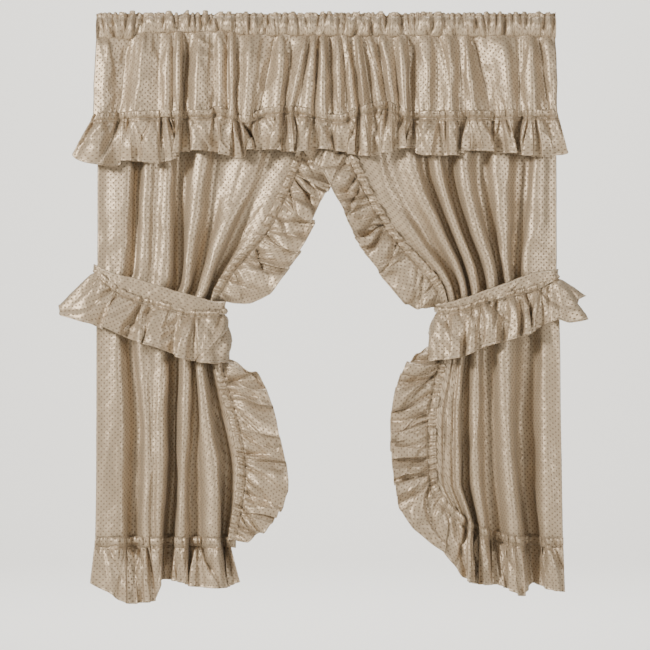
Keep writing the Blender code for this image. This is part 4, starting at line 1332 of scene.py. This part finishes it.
@dataclass
class Heading:
    """The rod pocket, open at both ends, with the small frill that stands over it."""

    steps_across: int = 680
    steps_round: int = 32
    gather_pitch: float = 0.0275
    drop: float = 0.047
    stitch_share: float = 0.2
    stitch_drop: float = 0.046
    rib_height: float = 0.0034
    rib_drift: Swell = Swell(0.085, 1.0, 1.1)
    rib_wander: Swell = Swell(0.05, 1.0, 0.5, (0, 8))
    rib_growth: Swell = Swell(0.06, 1.0, 0.9)
    near_frill: tuple[float, float] = (0.12, 0.22)
    near_seam: tuple[float, float] = (1.0, 0.12)
    fine_pitch: float = 0.0095
    fine_heights: tuple[float, float, float] = (0.0070, 0.0030, 0.0010)
    frill_rims: tuple[Swell, Swell] = (Swell(0.010, 1.0, 2.0, (5, 0)), Swell(0.0055, 1.0, 1.2))
    back_relief: float = 0.4
    hanging: CreaseSizes = CreaseSizes(0.0125, (0.0030, 0.0135), (0.012, 0.070), (0.0013, 0.0052))
    standing: CreaseSizes = CreaseSizes(0.0230, (0.0035, 0.0135), (0.014, 0.050), (0.0014, 0.0085))
    dents: Swell = Swell(0.022, 1.0, 0.0016)
    flat: tuple[float, float] = (1.30, 0.108)
    seed: int = 11

    def cloth(self) -> Cloth:
        """Lay the pocket as rings from one open end to the other.

        Returns:
            The laid cloth.
        """
        across = np.linspace(HEADING_LEFT, HEADING_RIGHT, self.steps_across)[:, None]
        around = np.linspace(0, len(POCKET) - 1, self.steps_round + 1)[None, :]
        numbers = np.arange(len(POCKET))
        depth, share, ripple = (smooth(numbers, column, around) for column in zip(*POCKET))
        bottom = pocket_seam(across) - 0.5

        pleats, crumple = Grain(self.seed), Grain(self.seed + 7)
        x = across * GRID
        drift = self.rib_drift.round(pleats, x, 3.0) + self.rib_wander.round(crumple, x, share * 0.9)
        ridge = 2 * np.abs(np.cos(math.pi * (x / self.gather_pitch + drift))) ** 0.6 - 1
        tall = 1.0 + self.rib_growth.round(crumple, x, 1.0)
        front = np.where(depth < 0, 1.0, self.back_relief)
        near_frill, near_seam = (np.exp(-((share - middle) / width) ** 2)
                                 for middle, width in (self.near_frill, self.near_seam))
        broad = self.rib_height * ridge * tall * (1 - 0.75 * near_frill)
        at_frill, at_seam, between_them = self.fine_heights
        fine = pleats.at(x / self.fine_pitch, share * 0.7)
        fine = fine * (at_frill * near_frill + at_seam * near_seam + between_them)
        width = x[-1, 0] - x[0, 0]
        hanging = Creases(self.seed + 20, width, self.hanging)
        standing = Creases(self.seed + 21, width, self.standing)
        standing.fan(0.060, 0.35, 0.0)
        from_frill = np.clip(share - self.stitch_share, 0, 1) * self.drop
        from_seam = np.clip(1 - share, 0, 1) * self.drop
        creases = hanging.at(x - x[0, 0], from_frill) + standing.at(x - x[0, 0], from_seam)
        dents = self.dents.round(crumple, x, share * 0.9)
        swell = (broad + fine + creases + dents) * ripple * front
        tall_rim, small_rim = self.frill_rims
        edge = 1.5 + tall_rim.round(pleats, x, 0.0) + small_rim.round(crumple, x, 5.0)
        down = edge * np.clip(1 - share / 0.3, 0, 1) + bottom * share
        points = np.stack([x + 0 * depth, depth * MM + 0 * x, -down * GRID], axis=-1)

        ring = np.concatenate([points[:, -2:-1], points, points[:, 1:2]], axis=1)
        normal = normals(ring)[:, 1:-1]
        if float(np.mean(normal[..., 1] * np.sign(points[..., 1] - 0.0005))) < 0:
            normal = -normal
        hand = wrinkled(points, HEADING_WRINKLES) * (depth < -3)
        points = points + normal * (swell + hand)[..., None]
        points[:, -1] = points[:, 0]

        flat = pattern(travelled(points, 0)[:, 12:13], travelled(points, 1))
        row = np.abs(share - self.stitch_share) * self.stitch_drop + 0 * x
        return Cloth(points, flat, np.zeros(points.shape[:2]), row, closed=True)

    def dress(self, room: SewingRoom) -> None:
        """Make the heading."""
        room.piece("heading", self.cloth(), self.flat, ("rod_line",))


@dataclass
class Valance:
    """The gathered cloth below the pocket and the ruffle along its lower edge.

    tuck and lap are in grid cells and other lengths in metres. hollow, hollow_gain and ridge turn
    the pleats' table depths, in mm, into the depths of the folds.
    """

    steps_across: int = 440
    steps_down: int = 66
    strip_steps: int = 740
    tuck: float = 1.0
    lap: float = 5.0
    crisp: float = 0.85
    hollow: float = 1.12
    hollow_gain: float = 0.035
    ridge: float = 1.55
    rim_flatten: float = 0.3
    rim_tilt: float = 0.017
    pocket_fade: float = 0.035
    rim_fade: float = 0.014
    seam_calm: float = 0.006
    side_hem: float = 0.010
    knot_pitch: float = 0.090
    knot_fan: float = 0.35
    pocket_pleats: Swell = Swell(0.0100, 0.10, 0.0040)
    rim_puckers: Swell = Swell(0.0090, 0.05, 0.0030, (50, 0))
    broad_folds: Swell = Swell(0.045, 0.20, 0.0034, (0, 5))
    soft_ridges: Swell = Swell(0.060, 0.090, 0.0022, level=0.25)
    hanging: CreaseSizes = CreaseSizes(0.020, (0.0015, 0.0085), (0.012, 0.090), (0.0015, 0.0075))
    standing: CreaseSizes = CreaseSizes(0.026, (0.0010, 0.0055), (0.010, 0.050), (0.0015, 0.0060))
    flat: tuple[float, float] = (1.20, 0.170)
    strip_flat: tuple[float, float] = (1.35, 0.105)
    seed: int = 21

    def surface(self, columns: np.ndarray, down: np.ndarray) -> np.ndarray:
        """Lay the main folds.

        Args:
            columns: Pleat numbers to lay points at.
            down: Places down from the pocket's seam, in grid cells.

        Returns:
            A grid of points.
        """
        stations = [level.down for level in VALANCE_LEVELS]
        share = (down - stations[0]) / (stations[-1] - stations[0])
        top, low, depth = (upright(VALANCE_PLEATS, name) for name in ("top", "low", "depth"))
        factor = read(VALANCE_LEVELS, "depth", down, by="down")
        back = read(VALANCE_LEVELS, "back", down, by="down")
        gain = np.where(depth > 0, self.hollow + self.hollow_gain * depth, self.ridge)
        x, y = wrap((top + (low - top) * share) * GRID, (depth * gain * factor + back) * MM, columns,
                    self.crisp)
        across = x / GRID
        upper = pocket_seam(across) + stations[0] - SEAM_AT_CENTRE - self.tuck
        lower = read(VALANCE_EDGE, "down", across, by="across")
        z = upper + (lower - upper) * share
        return np.stack([x, y, -z * GRID], axis=-1)

    def columns(self) -> np.ndarray:
        """Column numbers at even steps over the cloth."""
        rows = np.array([level.down for level in VALANCE_LEVELS])
        return even_columns(lambda c: self.surface(c, rows), len(VALANCE_PLEATS) - 1, self.steps_across)

    def cloth(self) -> Cloth:
        """Lay the cloth, with small pleats under the pocket and a pucker over the ruffle.

        Returns:
            The laid cloth.
        """
        top, low = VALANCE_LEVELS[0].down, VALANCE_LEVELS[-1].down
        down = np.linspace(top, low + self.lap, self.steps_down)
        inside = np.minimum(down, low)
        points = self.surface(self.columns(), inside)
        lap_down(points, np.maximum(down - low, 0))

        pleats, crumple = Grain(self.seed), Grain(self.seed + 3)
        u = travelled(points, 0).mean(axis=1, keepdims=True)
        fall = (down - top)[None, :] * GRID
        rise = (low - down)[None, :] * GRID
        under_pocket = np.exp(-fall / self.pocket_fade)
        over_ruffle = np.exp(-np.maximum(rise, 0) / self.rim_fade)
        off_seam = 1 - np.exp(-fall / self.seam_calm)
        height = self.pocket_pleats.round(pleats, u, fall) * under_pocket * off_seam
        height += self.rim_puckers.round(pleats, u, rise) * over_ruffle
        height += self.broad_folds.round(pleats, u, fall)
        height += self.soft_ridges.ridged(crumple, u, fall)
        hanging = Creases(self.seed + 60, u[-1, 0], self.hanging)
        standing = Creases(self.seed + 61, u[-1, 0], self.standing)
        hanging.fan(self.knot_pitch, self.knot_fan, 0.0)
        height += hanging.at(u, fall) * off_seam
        height += standing.at(u, np.maximum(rise, 0)) - standing.level
        height += wrinkled(points, VALANCE_WRINKLES)
        points = pushed(points, height)
        lengths = travelled(points, 0)
        flat = pattern(lengths.mean(axis=1, keepdims=True), travelled(points, 1))
        hem = ease(1.5 - np.minimum(lengths, lengths[-1:] - lengths) / self.side_hem)
        return Cloth(points, flat, hem, np.full(hem.shape, 1.0))

    def ruffle(self) -> Ruffle:
        """Gather the ruffle along the valance's lower edge.

        Returns:
            The ruffle, ready to lay.
        """
        columns = np.linspace(0, len(VALANCE_PLEATS) - 1, 900)
        edge = self.surface(columns, np.array([VALANCE_LEVELS[-1].down]))[:, 0]
        opened = np.interp(columns, np.arange(len(VALANCE_PLEATS)), [p.low for p in VALANCE_PLEATS])
        return lower_ruffle(edge, opened, VALANCE_RIM, self.rim_flatten, self.rim_tilt, self.seed,
                            relief=1.3)

    def dress(self, room: SewingRoom) -> None:
        """Make the valance and its ruffle.

        Args:
            room: The sewing room that makes them.
        """
        room.piece("valance", self.cloth(), self.flat, ("heading",))
        strip = self.ruffle().lay(self.strip_steps)
        room.piece("valance_ruffle", strip, self.strip_flat, ("valance",), crosswise=True)


@dataclass
class Panel:
    """A panel whose folds run from the pocket, through its tie, to the hem, with its ruffles.

    lap and over_tie are in grid cells and other lengths in metres.
    """

    side: str
    inward: int
    levels: tuple[Level, ...]
    crests: tuple[Crest, ...]
    side_rim: tuple[RimPoint, ...]
    hem_rim: tuple[RimPoint, ...]
    wrinkles: tuple[Wrinkle, ...]
    steps_across: int = 190
    steps_down: int = 150
    side_steps: int = 860
    hem_steps: int = 320
    lap: float = 7.5
    crisp: float = 0.12
    lower_gain: float = 1.16
    over_tie: float = 8.0
    rim_flatten: float = 0.6
    rim_tilt: float = 0.003
    pocket_fade: float = 0.05
    tie_half: float = 0.045
    tie_fade: float = 0.055
    hem_fade: float = 0.012
    edge_calm: float = 0.020
    side_hem: float = 0.014
    pocket_pleats: Swell = Swell(0.012, 0.12, 0.0040)
    tie_pleats: Swell = Swell(0.0200, 0.30, 0.0042)
    broad_folds: Swell = Swell(0.048, 0.30, 0.0045, (30, 0))
    soft_ridges: Swell = Swell(0.050, 0.16, 0.0020, (0, 4), 0.25)
    crumples: Swell = Swell(0.028, 0.060, 0.0012, (0, 4))
    flat: tuple[float, float] = (0.62, 1.00)
    side_flat: tuple[float, float] = (1.25, 0.105)
    hem_flat: tuple[float, float] = (0.50, 0.105)

    def __post_init__(self) -> None:
        """Note the panel's ends."""
        self.last = len(self.crests) - 1
        self.top = self.levels[0].inner
        self.hem = self.levels[-1].inner
        self.seed = 61 + self.inward

    def column(self, name: str, down: np.ndarray) -> np.ndarray:
        """A column of the level table at each place down."""
        return read(self.levels, name, down, by="inner")

    def surface(self, columns: np.ndarray, down: np.ndarray) -> np.ndarray:
        """Lay the main folds.

        Args:
            columns: Crest numbers to lay points at.
            down: Places down the inner edge, in grid cells.

        Returns:
            A grid of points.
        """
        stations = [level.inner for level in self.levels]
        crest_x = np.array([smooth(stations, crest.places, down) for crest in self.crests])
        lower = self.column("lower", down)
        upper_depth, lower_depth = (upright(self.crests, name) for name in ("upper", "lower"))
        depth = upper_depth * (1 - lower) + self.lower_gain * lower_depth * lower
        inner_third = ease((np.arange(len(self.crests)) - self.last + 4.5) / 3)[:, None]
        cross = self.column("cross", down) * inner_third
        calm = 1 - 0.65 * inner_third * ease(np.abs(self.column("cross", down)) / 8)
        crest_y = (depth * self.column("depth", down) * calm + self.column("back", down) + cross) * MM
        crest_x = crest_x * GRID
        x, y = wrap(crest_x, crest_y, columns, self.crisp)
        share = (crest_x - crest_x[0]) / (crest_x[-1] - crest_x[0])
        inward, _ = wrap(share, share, columns)
        outer = self.column("outer", down)
        z = outer + (down - outer) * np.clip(inward, 0, 1) ** self.column("bend", down)
        waver = (pocket_seam(x / GRID) - SEAM_AT_CENTRE) * ease(1 - (down - self.top) / 60)
        return np.stack([x, y, -(z + waver) * GRID], axis=-1)

    def cloth(self) -> Cloth:
        """Lay the cloth, pleated finely under the pocket and round the tie, with its wrinkles.

        Returns:
            The laid cloth.
        """
        rows = np.array([level.inner for level in self.levels[2:]])
        columns = even_columns(lambda c: self.surface(c, rows), self.last, self.steps_across)
        down = np.linspace(self.top, self.hem + self.lap, self.steps_down)
        points = self.surface(columns, np.minimum(down, self.hem))
        points = np.concatenate([points, self._under_frill(points[-1], down)])
        lap_down(points, np.maximum(down - self.hem, 0))

        pleats, crumple = Grain(self.seed), Grain(self.seed + 9)
        mean_u = travelled(points, 0).mean(axis=1, keepdims=True)
        place = down[None, :]
        fall = (place - self.top) * GRID
        tie = 0.5 * (self.levels[4].inner + self.levels[6].inner) - self.over_tie
        from_tie = (place - tie) * GRID
        pinch = np.exp(-np.maximum(np.abs(from_tie) - self.tie_half, 0) / self.tie_fade)
        inner = ease(mean_u / mean_u.max() * 1.6)
        height = self.pocket_pleats.round(pleats, mean_u, fall) * np.exp(-fall / self.pocket_fade)
        height += self.tie_pleats.round(pleats, mean_u, from_tie) * pinch * (0.35 + 0.65 * inner)
        height += self.broad_folds.round(pleats, mean_u, fall)
        height += self.soft_ridges.ridged(crumple, mean_u, fall)
        height += self.crumples.round(crumple, mean_u, fall)
        height += wrinkled(points, self.wrinkles)
        height *= 1 - 0.8 * np.exp(-np.maximum(self.hem - place, 0) * GRID / self.hem_fade)
        height *= ease((mean_u.max() - mean_u - HEADER) / self.edge_calm)
        points = pushed(points, height)

        across = travelled(points, 0)
        flat = pattern(across * -self.inward, -travelled(points, 1))
        hem = ease(1.4 - across / self.side_hem)
        return Cloth(points, flat, hem, np.full(hem.shape, 1.0))

    def _under_frill(self, edge: np.ndarray, down: np.ndarray) -> np.ndarray:
        """Columns from the inner edge to the side ruffle's stitching, behind its frill.

        Args:
            edge: Points of the inner edge, one a row.
            down: The rows' places down.

        Returns:
            Three columns of points.
        """
        ruffle = self.side_ruffle()
        rows = np.linspace(self.top, self.hem, len(ruffle.edge))
        way, front = (unit(between(rows, vectors, down)) for vectors in (ruffle.reach, ruffle.normal))
        step = way * (HEADER + SEAM_GAP) - front * 0.003
        return edge + step * np.array((0.34, 0.67, 1.0))[:, None, None]

    def side_ruffle(self) -> Ruffle:
        """Gather the ruffle down the inner edge, turned back at the tie.

        Returns:
            The ruffle, ready to lay.
        """
        down = np.linspace(self.top, self.hem, 700)
        edge = self.surface(np.array([float(self.last)]), down)[0]
        reach, swing = rim_reach(self.side_rim, down, edge)
        tangent = unit(np.gradient(edge, axis=0))
        normal = unit(np.cross(reach, tangent))
        front = np.array((self.inward * 0.7, -0.7, 0.0))
        normal = normal * np.where(normal @ front < 0, -1, 1)[:, None]
        return Ruffle(edge, reach, swing, normal, tangent, self.seed + 10, sweep=0.016, slant=0.55,
                      relief=1.3)

    def hem_ruffle(self) -> Ruffle:
        """Gather the ruffle along the lower edge.

        Returns:
            The ruffle, ready to lay.
        """
        columns = np.linspace(0, self.last, 500)
        edge = self.surface(columns, np.array([float(self.hem)]))[:, 0]
        opened = np.interp(columns, np.arange(self.last + 1), [crest.places[-1] for crest in self.crests])
        if self.inward < 0:
            edge, opened = edge[::-1], opened[::-1]
        return lower_ruffle(edge, opened, self.hem_rim, self.rim_flatten, self.rim_tilt, self.seed + 20,
                            lap=0.0060, lift=0.0062, relief=1.35)

    def dress(self, room: SewingRoom) -> None:
        """Make the panel and its two ruffles.

        Args:
            room: The sewing room that makes them.
        """
        name = f"panel_{self.side}"
        room.piece(name, self.cloth(), self.flat, ("heading", f"tie_band_{self.side}"))
        for strip, ruffle, steps, flat in (
                ("side_ruffle", self.side_ruffle(), self.side_steps, self.side_flat),
                ("hem_ruffle", self.hem_ruffle(), self.hem_steps, self.hem_flat)):
            room.piece(f"{strip}_{self.side}", ruffle.lay(steps), flat, (name,), crosswise=True)


@dataclass
class Tie:
    """A band looped round a panel, slanting down to its inner turn, with a ruffle under it."""

    side: str
    inward: int
    rows: tuple[BandPoint, ...]
    rim: tuple[TieRim, ...]
    steps_round: int = 220
    steps_wide: int = 14
    strip_steps: int = 420
    bumps: Swell = Swell(0.024, 0.05, 0.0036)
    ridges: Swell = Swell(0.040, 0.03, 0.0026, (0, 5), 0.3)
    gathers: CreaseSizes = CreaseSizes(0.012, (0.0020, 0.0065), (0.010, 0.034), (0.0015, 0.0052))
    band_lift: float = 0.0018
    band_belly: float = 0.0012
    stitch_inset: float = 0.0022
    flat: tuple[float, float] = (0.62, 0.030)
    strip_flat: tuple[float, float] = (0.80, 0.082)

    def surface(self, shares: np.ndarray, edges: np.ndarray) -> np.ndarray:
        """Lay the plain loop.

        Args:
            shares: Shares of the way round, from its outer turn.
            edges: Shares of the way from the upper to the lower edge.

        Returns:
            A grid of points.
        """
        angle = 2 * math.pi * shares
        outer, inner = self.rows[0].across, self.rows[-1].across
        cosine, sine = np.cos(angle), np.sin(angle)
        sign = 1 if inner > outer else -1
        x = 0.5 * (outer + inner) - sign * 0.5 * abs(inner - outer) * (
            np.sign(cosine) * np.abs(cosine) ** BAND_SQUARENESS)
        y = (0.5 * (BAND_FRONT + BAND_BACK) - 0.5 * (BAND_BACK - BAND_FRONT)
             * np.sign(sine) * np.abs(sine) ** BAND_SQUARENESS)
        rows = sorted(self.rows, key=lambda row: row.across)
        upper, lower = (read(rows, name, x, by="across") for name in ("upper", "lower"))
        z = upper[:, None] + (lower - upper)[:, None] * edges[None, :]
        return np.stack(np.broadcast_arrays(x[:, None] * GRID, y[:, None] * MM, -z * GRID), axis=-1)

    def even_shares(self, count: int) -> np.ndarray:
        """Choose shares of the loop that lie at even steps along it.

        Args:
            count: How many shares to choose.

        Returns:
            The shares.
        """
        dense = np.linspace(0, 1, 4001)
        length = travelled(self.surface(dense, np.array([0.5])), 0)[:, 0]
        return np.interp(np.linspace(0, length[-1], count), length, dense)

    def band(self) -> Cloth:
        """Lay the band, a little crumpled where it is pulled round.

        Returns:
            The laid cloth.
        """
        shares = self.even_shares(self.steps_round)
        edges = np.linspace(0, 1, self.steps_wide)
        points = self.surface(shares, edges)
        crumple = Grain(71 + self.inward)
        u = travelled(points, 0).mean(axis=1, keepdims=True)
        v = travelled(points, 1)
        out = points - points.mean(axis=(0, 1))
        out[..., 2] = 0
        out = unit(out)
        gentle = np.sin(math.pi * np.linspace(0, 1, len(shares)))[:, None] ** 0.3
        slant = u + 0.8 * v
        height = self.band_lift + self.bumps.round(crumple, slant, v)
        height = height + self.ridges.ridged(crumple, slant, v)
        gathers = Creases(76 + self.inward, u[-1, 0], self.gathers)
        gathers.fan(0.050, 0.80, -0.5)
        height = height + gathers.at(u, v[:, -1:] - v) - 0.0006
        height = height + self.band_belly * np.sin(math.pi * edges)[None, :]
        points = points + out * (height * gentle)[..., None]
        points[-1] = points[0]
        flat = pattern(u, v)
        edge_row = np.minimum(v, v[:, -1:] - v)
        hem = ease(1.5 - edge_row / 0.003)
        return Cloth(points, flat, hem, np.abs(edge_row - self.stitch_inset), closed=True)

    def ruffle(self) -> Ruffle:
        """Gather the ruffle under the band, from its outer turn round and nearly back to it.

        Returns:
            The ruffle, ready to lay.
        """
        dense = self.even_shares(1600)
        shares = dense[(dense >= self.rim[0].at) & (dense <= self.rim[-1].at)]
        edge = self.surface(shares, np.array([1.0]))[:, 0]
        tangent = np.gradient(edge, axis=0)
        out = unit(np.stack([tangent[:, 1], -tangent[:, 0], np.zeros(len(edge))], axis=-1))
        outward = (edge - edge.mean(axis=0))[:, :2]
        out = out * np.where(np.sum(out[:, :2] * outward, axis=1) < 0, -1, 1)[:, None]
        over, down = (read(self.rim, name, shares) * GRID for name in ("over", "down"))
        flare, swing = (read(self.rim, name, shares) * MM for name in ("out", "swing"))
        reach = np.stack([over, np.zeros(len(over)), -down], axis=-1) + out * flare[:, None]
        return Ruffle(edge, reach, swing, out, unit(tangent), 81 + self.inward, header=0.0,
                      lap=TIE_LIP, lift=0.0040, pitch=0.040, knot_pitch=0.055, slant=-0.45,
                      relief=1.25)

    def dress(self, room: SewingRoom) -> None:
        """Make the band and its ruffle.

        Args:
            room: The sewing room that makes them.
        """
        name = f"tie_band_{self.side}"
        room.piece(name, self.band(), self.flat, (f"panel_{self.side}",), Held.DRAPED, crosswise=True)
        strip = self.ruffle().lay(self.strip_steps, header_rows=4, skirt_rows=24)
        room.piece(f"tie_ruffle_{self.side}", strip, self.strip_flat, (name,), crosswise=True)


@dataclass
class Studio:
    """A pale seamless backdrop, soft lights and a level camera straight in front."""

    frame_pixels: int = 650
    centre_pixel: float = 325.0
    grid_left_pixel: float = 326.0
    grid_top_pixel: float = 12.0
    camera_away: float = 6.0
    sensor_mm: float = 36.0
    air: tuple[float, float, float, float] = (0.93, 0.92, 0.90, 1.0)
    air_strength: float = 0.22
    paper: tuple[float, float, float, float] = (0.86, 0.85, 0.82, 1.0)
    paper_roughness: float = 0.9
    floor_size: float = 16.0
    floor_place: tuple[float, float, float] = (0.0, -1.5, -1.42)
    wall_height: float = 6.0
    curve: float = 2.0

    def set_up(self) -> None:
        """Place the backdrop, the lights and the camera."""
        self._backdrop()
        for light in LIGHTS:
            self._light(light)
        world = bpy.data.worlds.new("Soft room")
        world.use_nodes = True
        feed(world.node_tree.nodes["Background"], {"Color": self.air, "Strength": self.air_strength})
        bpy.context.scene.world = world
        self._camera()

    def _light(self, light: Light) -> None:
        """Add one square soft light that looks at a point.

        Args:
            light: The light.
        """
        bpy.ops.object.light_add(type="AREA", location=light.place)
        lamp = bpy.context.object
        lamp.name = f"{light.name}_light"
        lamp.data.size = light.size
        lamp.data.energy = light.watts
        lamp.data.color = light.colour
        lamp.visible_camera = False
        way = Vector(light.target) - Vector(light.place)
        lamp.rotation_euler = way.to_track_quat("-Z", "Y").to_euler()

    def _camera(self) -> None:
        """Add the camera, so that the grid falls on the photograph's own pixels."""
        across = (self.centre_pixel - self.grid_left_pixel) * GRID
        down = (self.centre_pixel - self.grid_top_pixel) * GRID
        bpy.ops.object.camera_add(location=(across, -self.camera_away, -down),
                                  rotation=(math.pi / 2, 0.0, 0.0))
        camera = bpy.context.object
        camera.name = "camera"
        camera.data.sensor_width = self.sensor_mm
        camera.data.lens = self.sensor_mm * self.camera_away / (self.frame_pixels * GRID)
        bpy.context.scene.camera = camera

    def _backdrop(self) -> None:
        """A floor under the set that curves up into a wall behind it."""
        bpy.ops.object.select_all(action="DESELECT")
        bpy.ops.mesh.primitive_plane_add(size=self.floor_size, location=self.floor_place)
        sweep = bpy.context.object
        sweep.name = "backdrop"
        bpy.ops.object.mode_set(mode="EDIT")
        bpy.ops.mesh.select_mode(type="EDGE")
        bpy.ops.mesh.select_all(action="DESELECT")
        bpy.ops.object.mode_set(mode="OBJECT")
        for edge in sweep.data.edges:
            ends = [sweep.data.vertices[k].co.y for k in edge.vertices]
            edge.select = min(ends) > 0
        bpy.ops.object.mode_set(mode="EDIT")
        up = (0.0, 0.0, self.wall_height)
        bpy.ops.mesh.extrude_region_move(TRANSFORM_OT_translate={"value": up})
        bpy.ops.object.mode_set(mode="OBJECT")
        bevel = sweep.modifiers.new("Sweep", "BEVEL")
        bevel.width = self.curve
        bevel.segments = 16
        bevel.limit_method = "ANGLE"
        bpy.ops.object.modifier_apply(modifier=bevel.name)
        bpy.ops.object.shade_smooth()
        bpy.ops.object.transform_apply(location=True, rotation=True, scale=True)
        material = bpy.data.materials.new("pale_paper")
        material.use_nodes = True
        feed(material.node_tree.nodes["Principled BSDF"],
             {"Base Color": self.paper, "Roughness": self.paper_roughness})
        sweep.data.materials.append(material)
        sweep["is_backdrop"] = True


def corners(box: object) -> list[list[float]]:
    """A box's two corners as plain numbers."""
    return [[float(number) for number in corner] for corner in box]


def main() -> None:
    """Build the set piece by piece on its frame, and light it."""
    logging.basicConfig(level=logging.INFO, format="%(name)s %(message)s")
    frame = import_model()
    LOG.info("frame: %d nodes", len(frame["nodes"]))
    solid_box = corners(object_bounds())
    room = SewingRoom(SatinDobby())
    Heading().dress(room)
    Valance().dress(room)
    panels = (
        Panel("left", 1, LEFT_LEVELS, LEFT_CRESTS, LEFT_SIDE_RIM, LEFT_HEM_RIM, LEFT_WRINKLES),
        Panel("right", -1, RIGHT_LEVELS, RIGHT_CRESTS, RIGHT_SIDE_RIM, RIGHT_HEM_RIM, RIGHT_WRINKLES),
    )
    for panel in panels:
        panel.dress(room)
    Tie("left", 1, LEFT_BAND, LEFT_TIE_RIM).dress(room)
    Tie("right", -1, RIGHT_BAND, RIGHT_TIE_RIM).dress(room)
    Studio().set_up()
    json.dumps({"cad": solid_box, "visual": corners(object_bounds())})


if __name__ == "__main__":
    main()
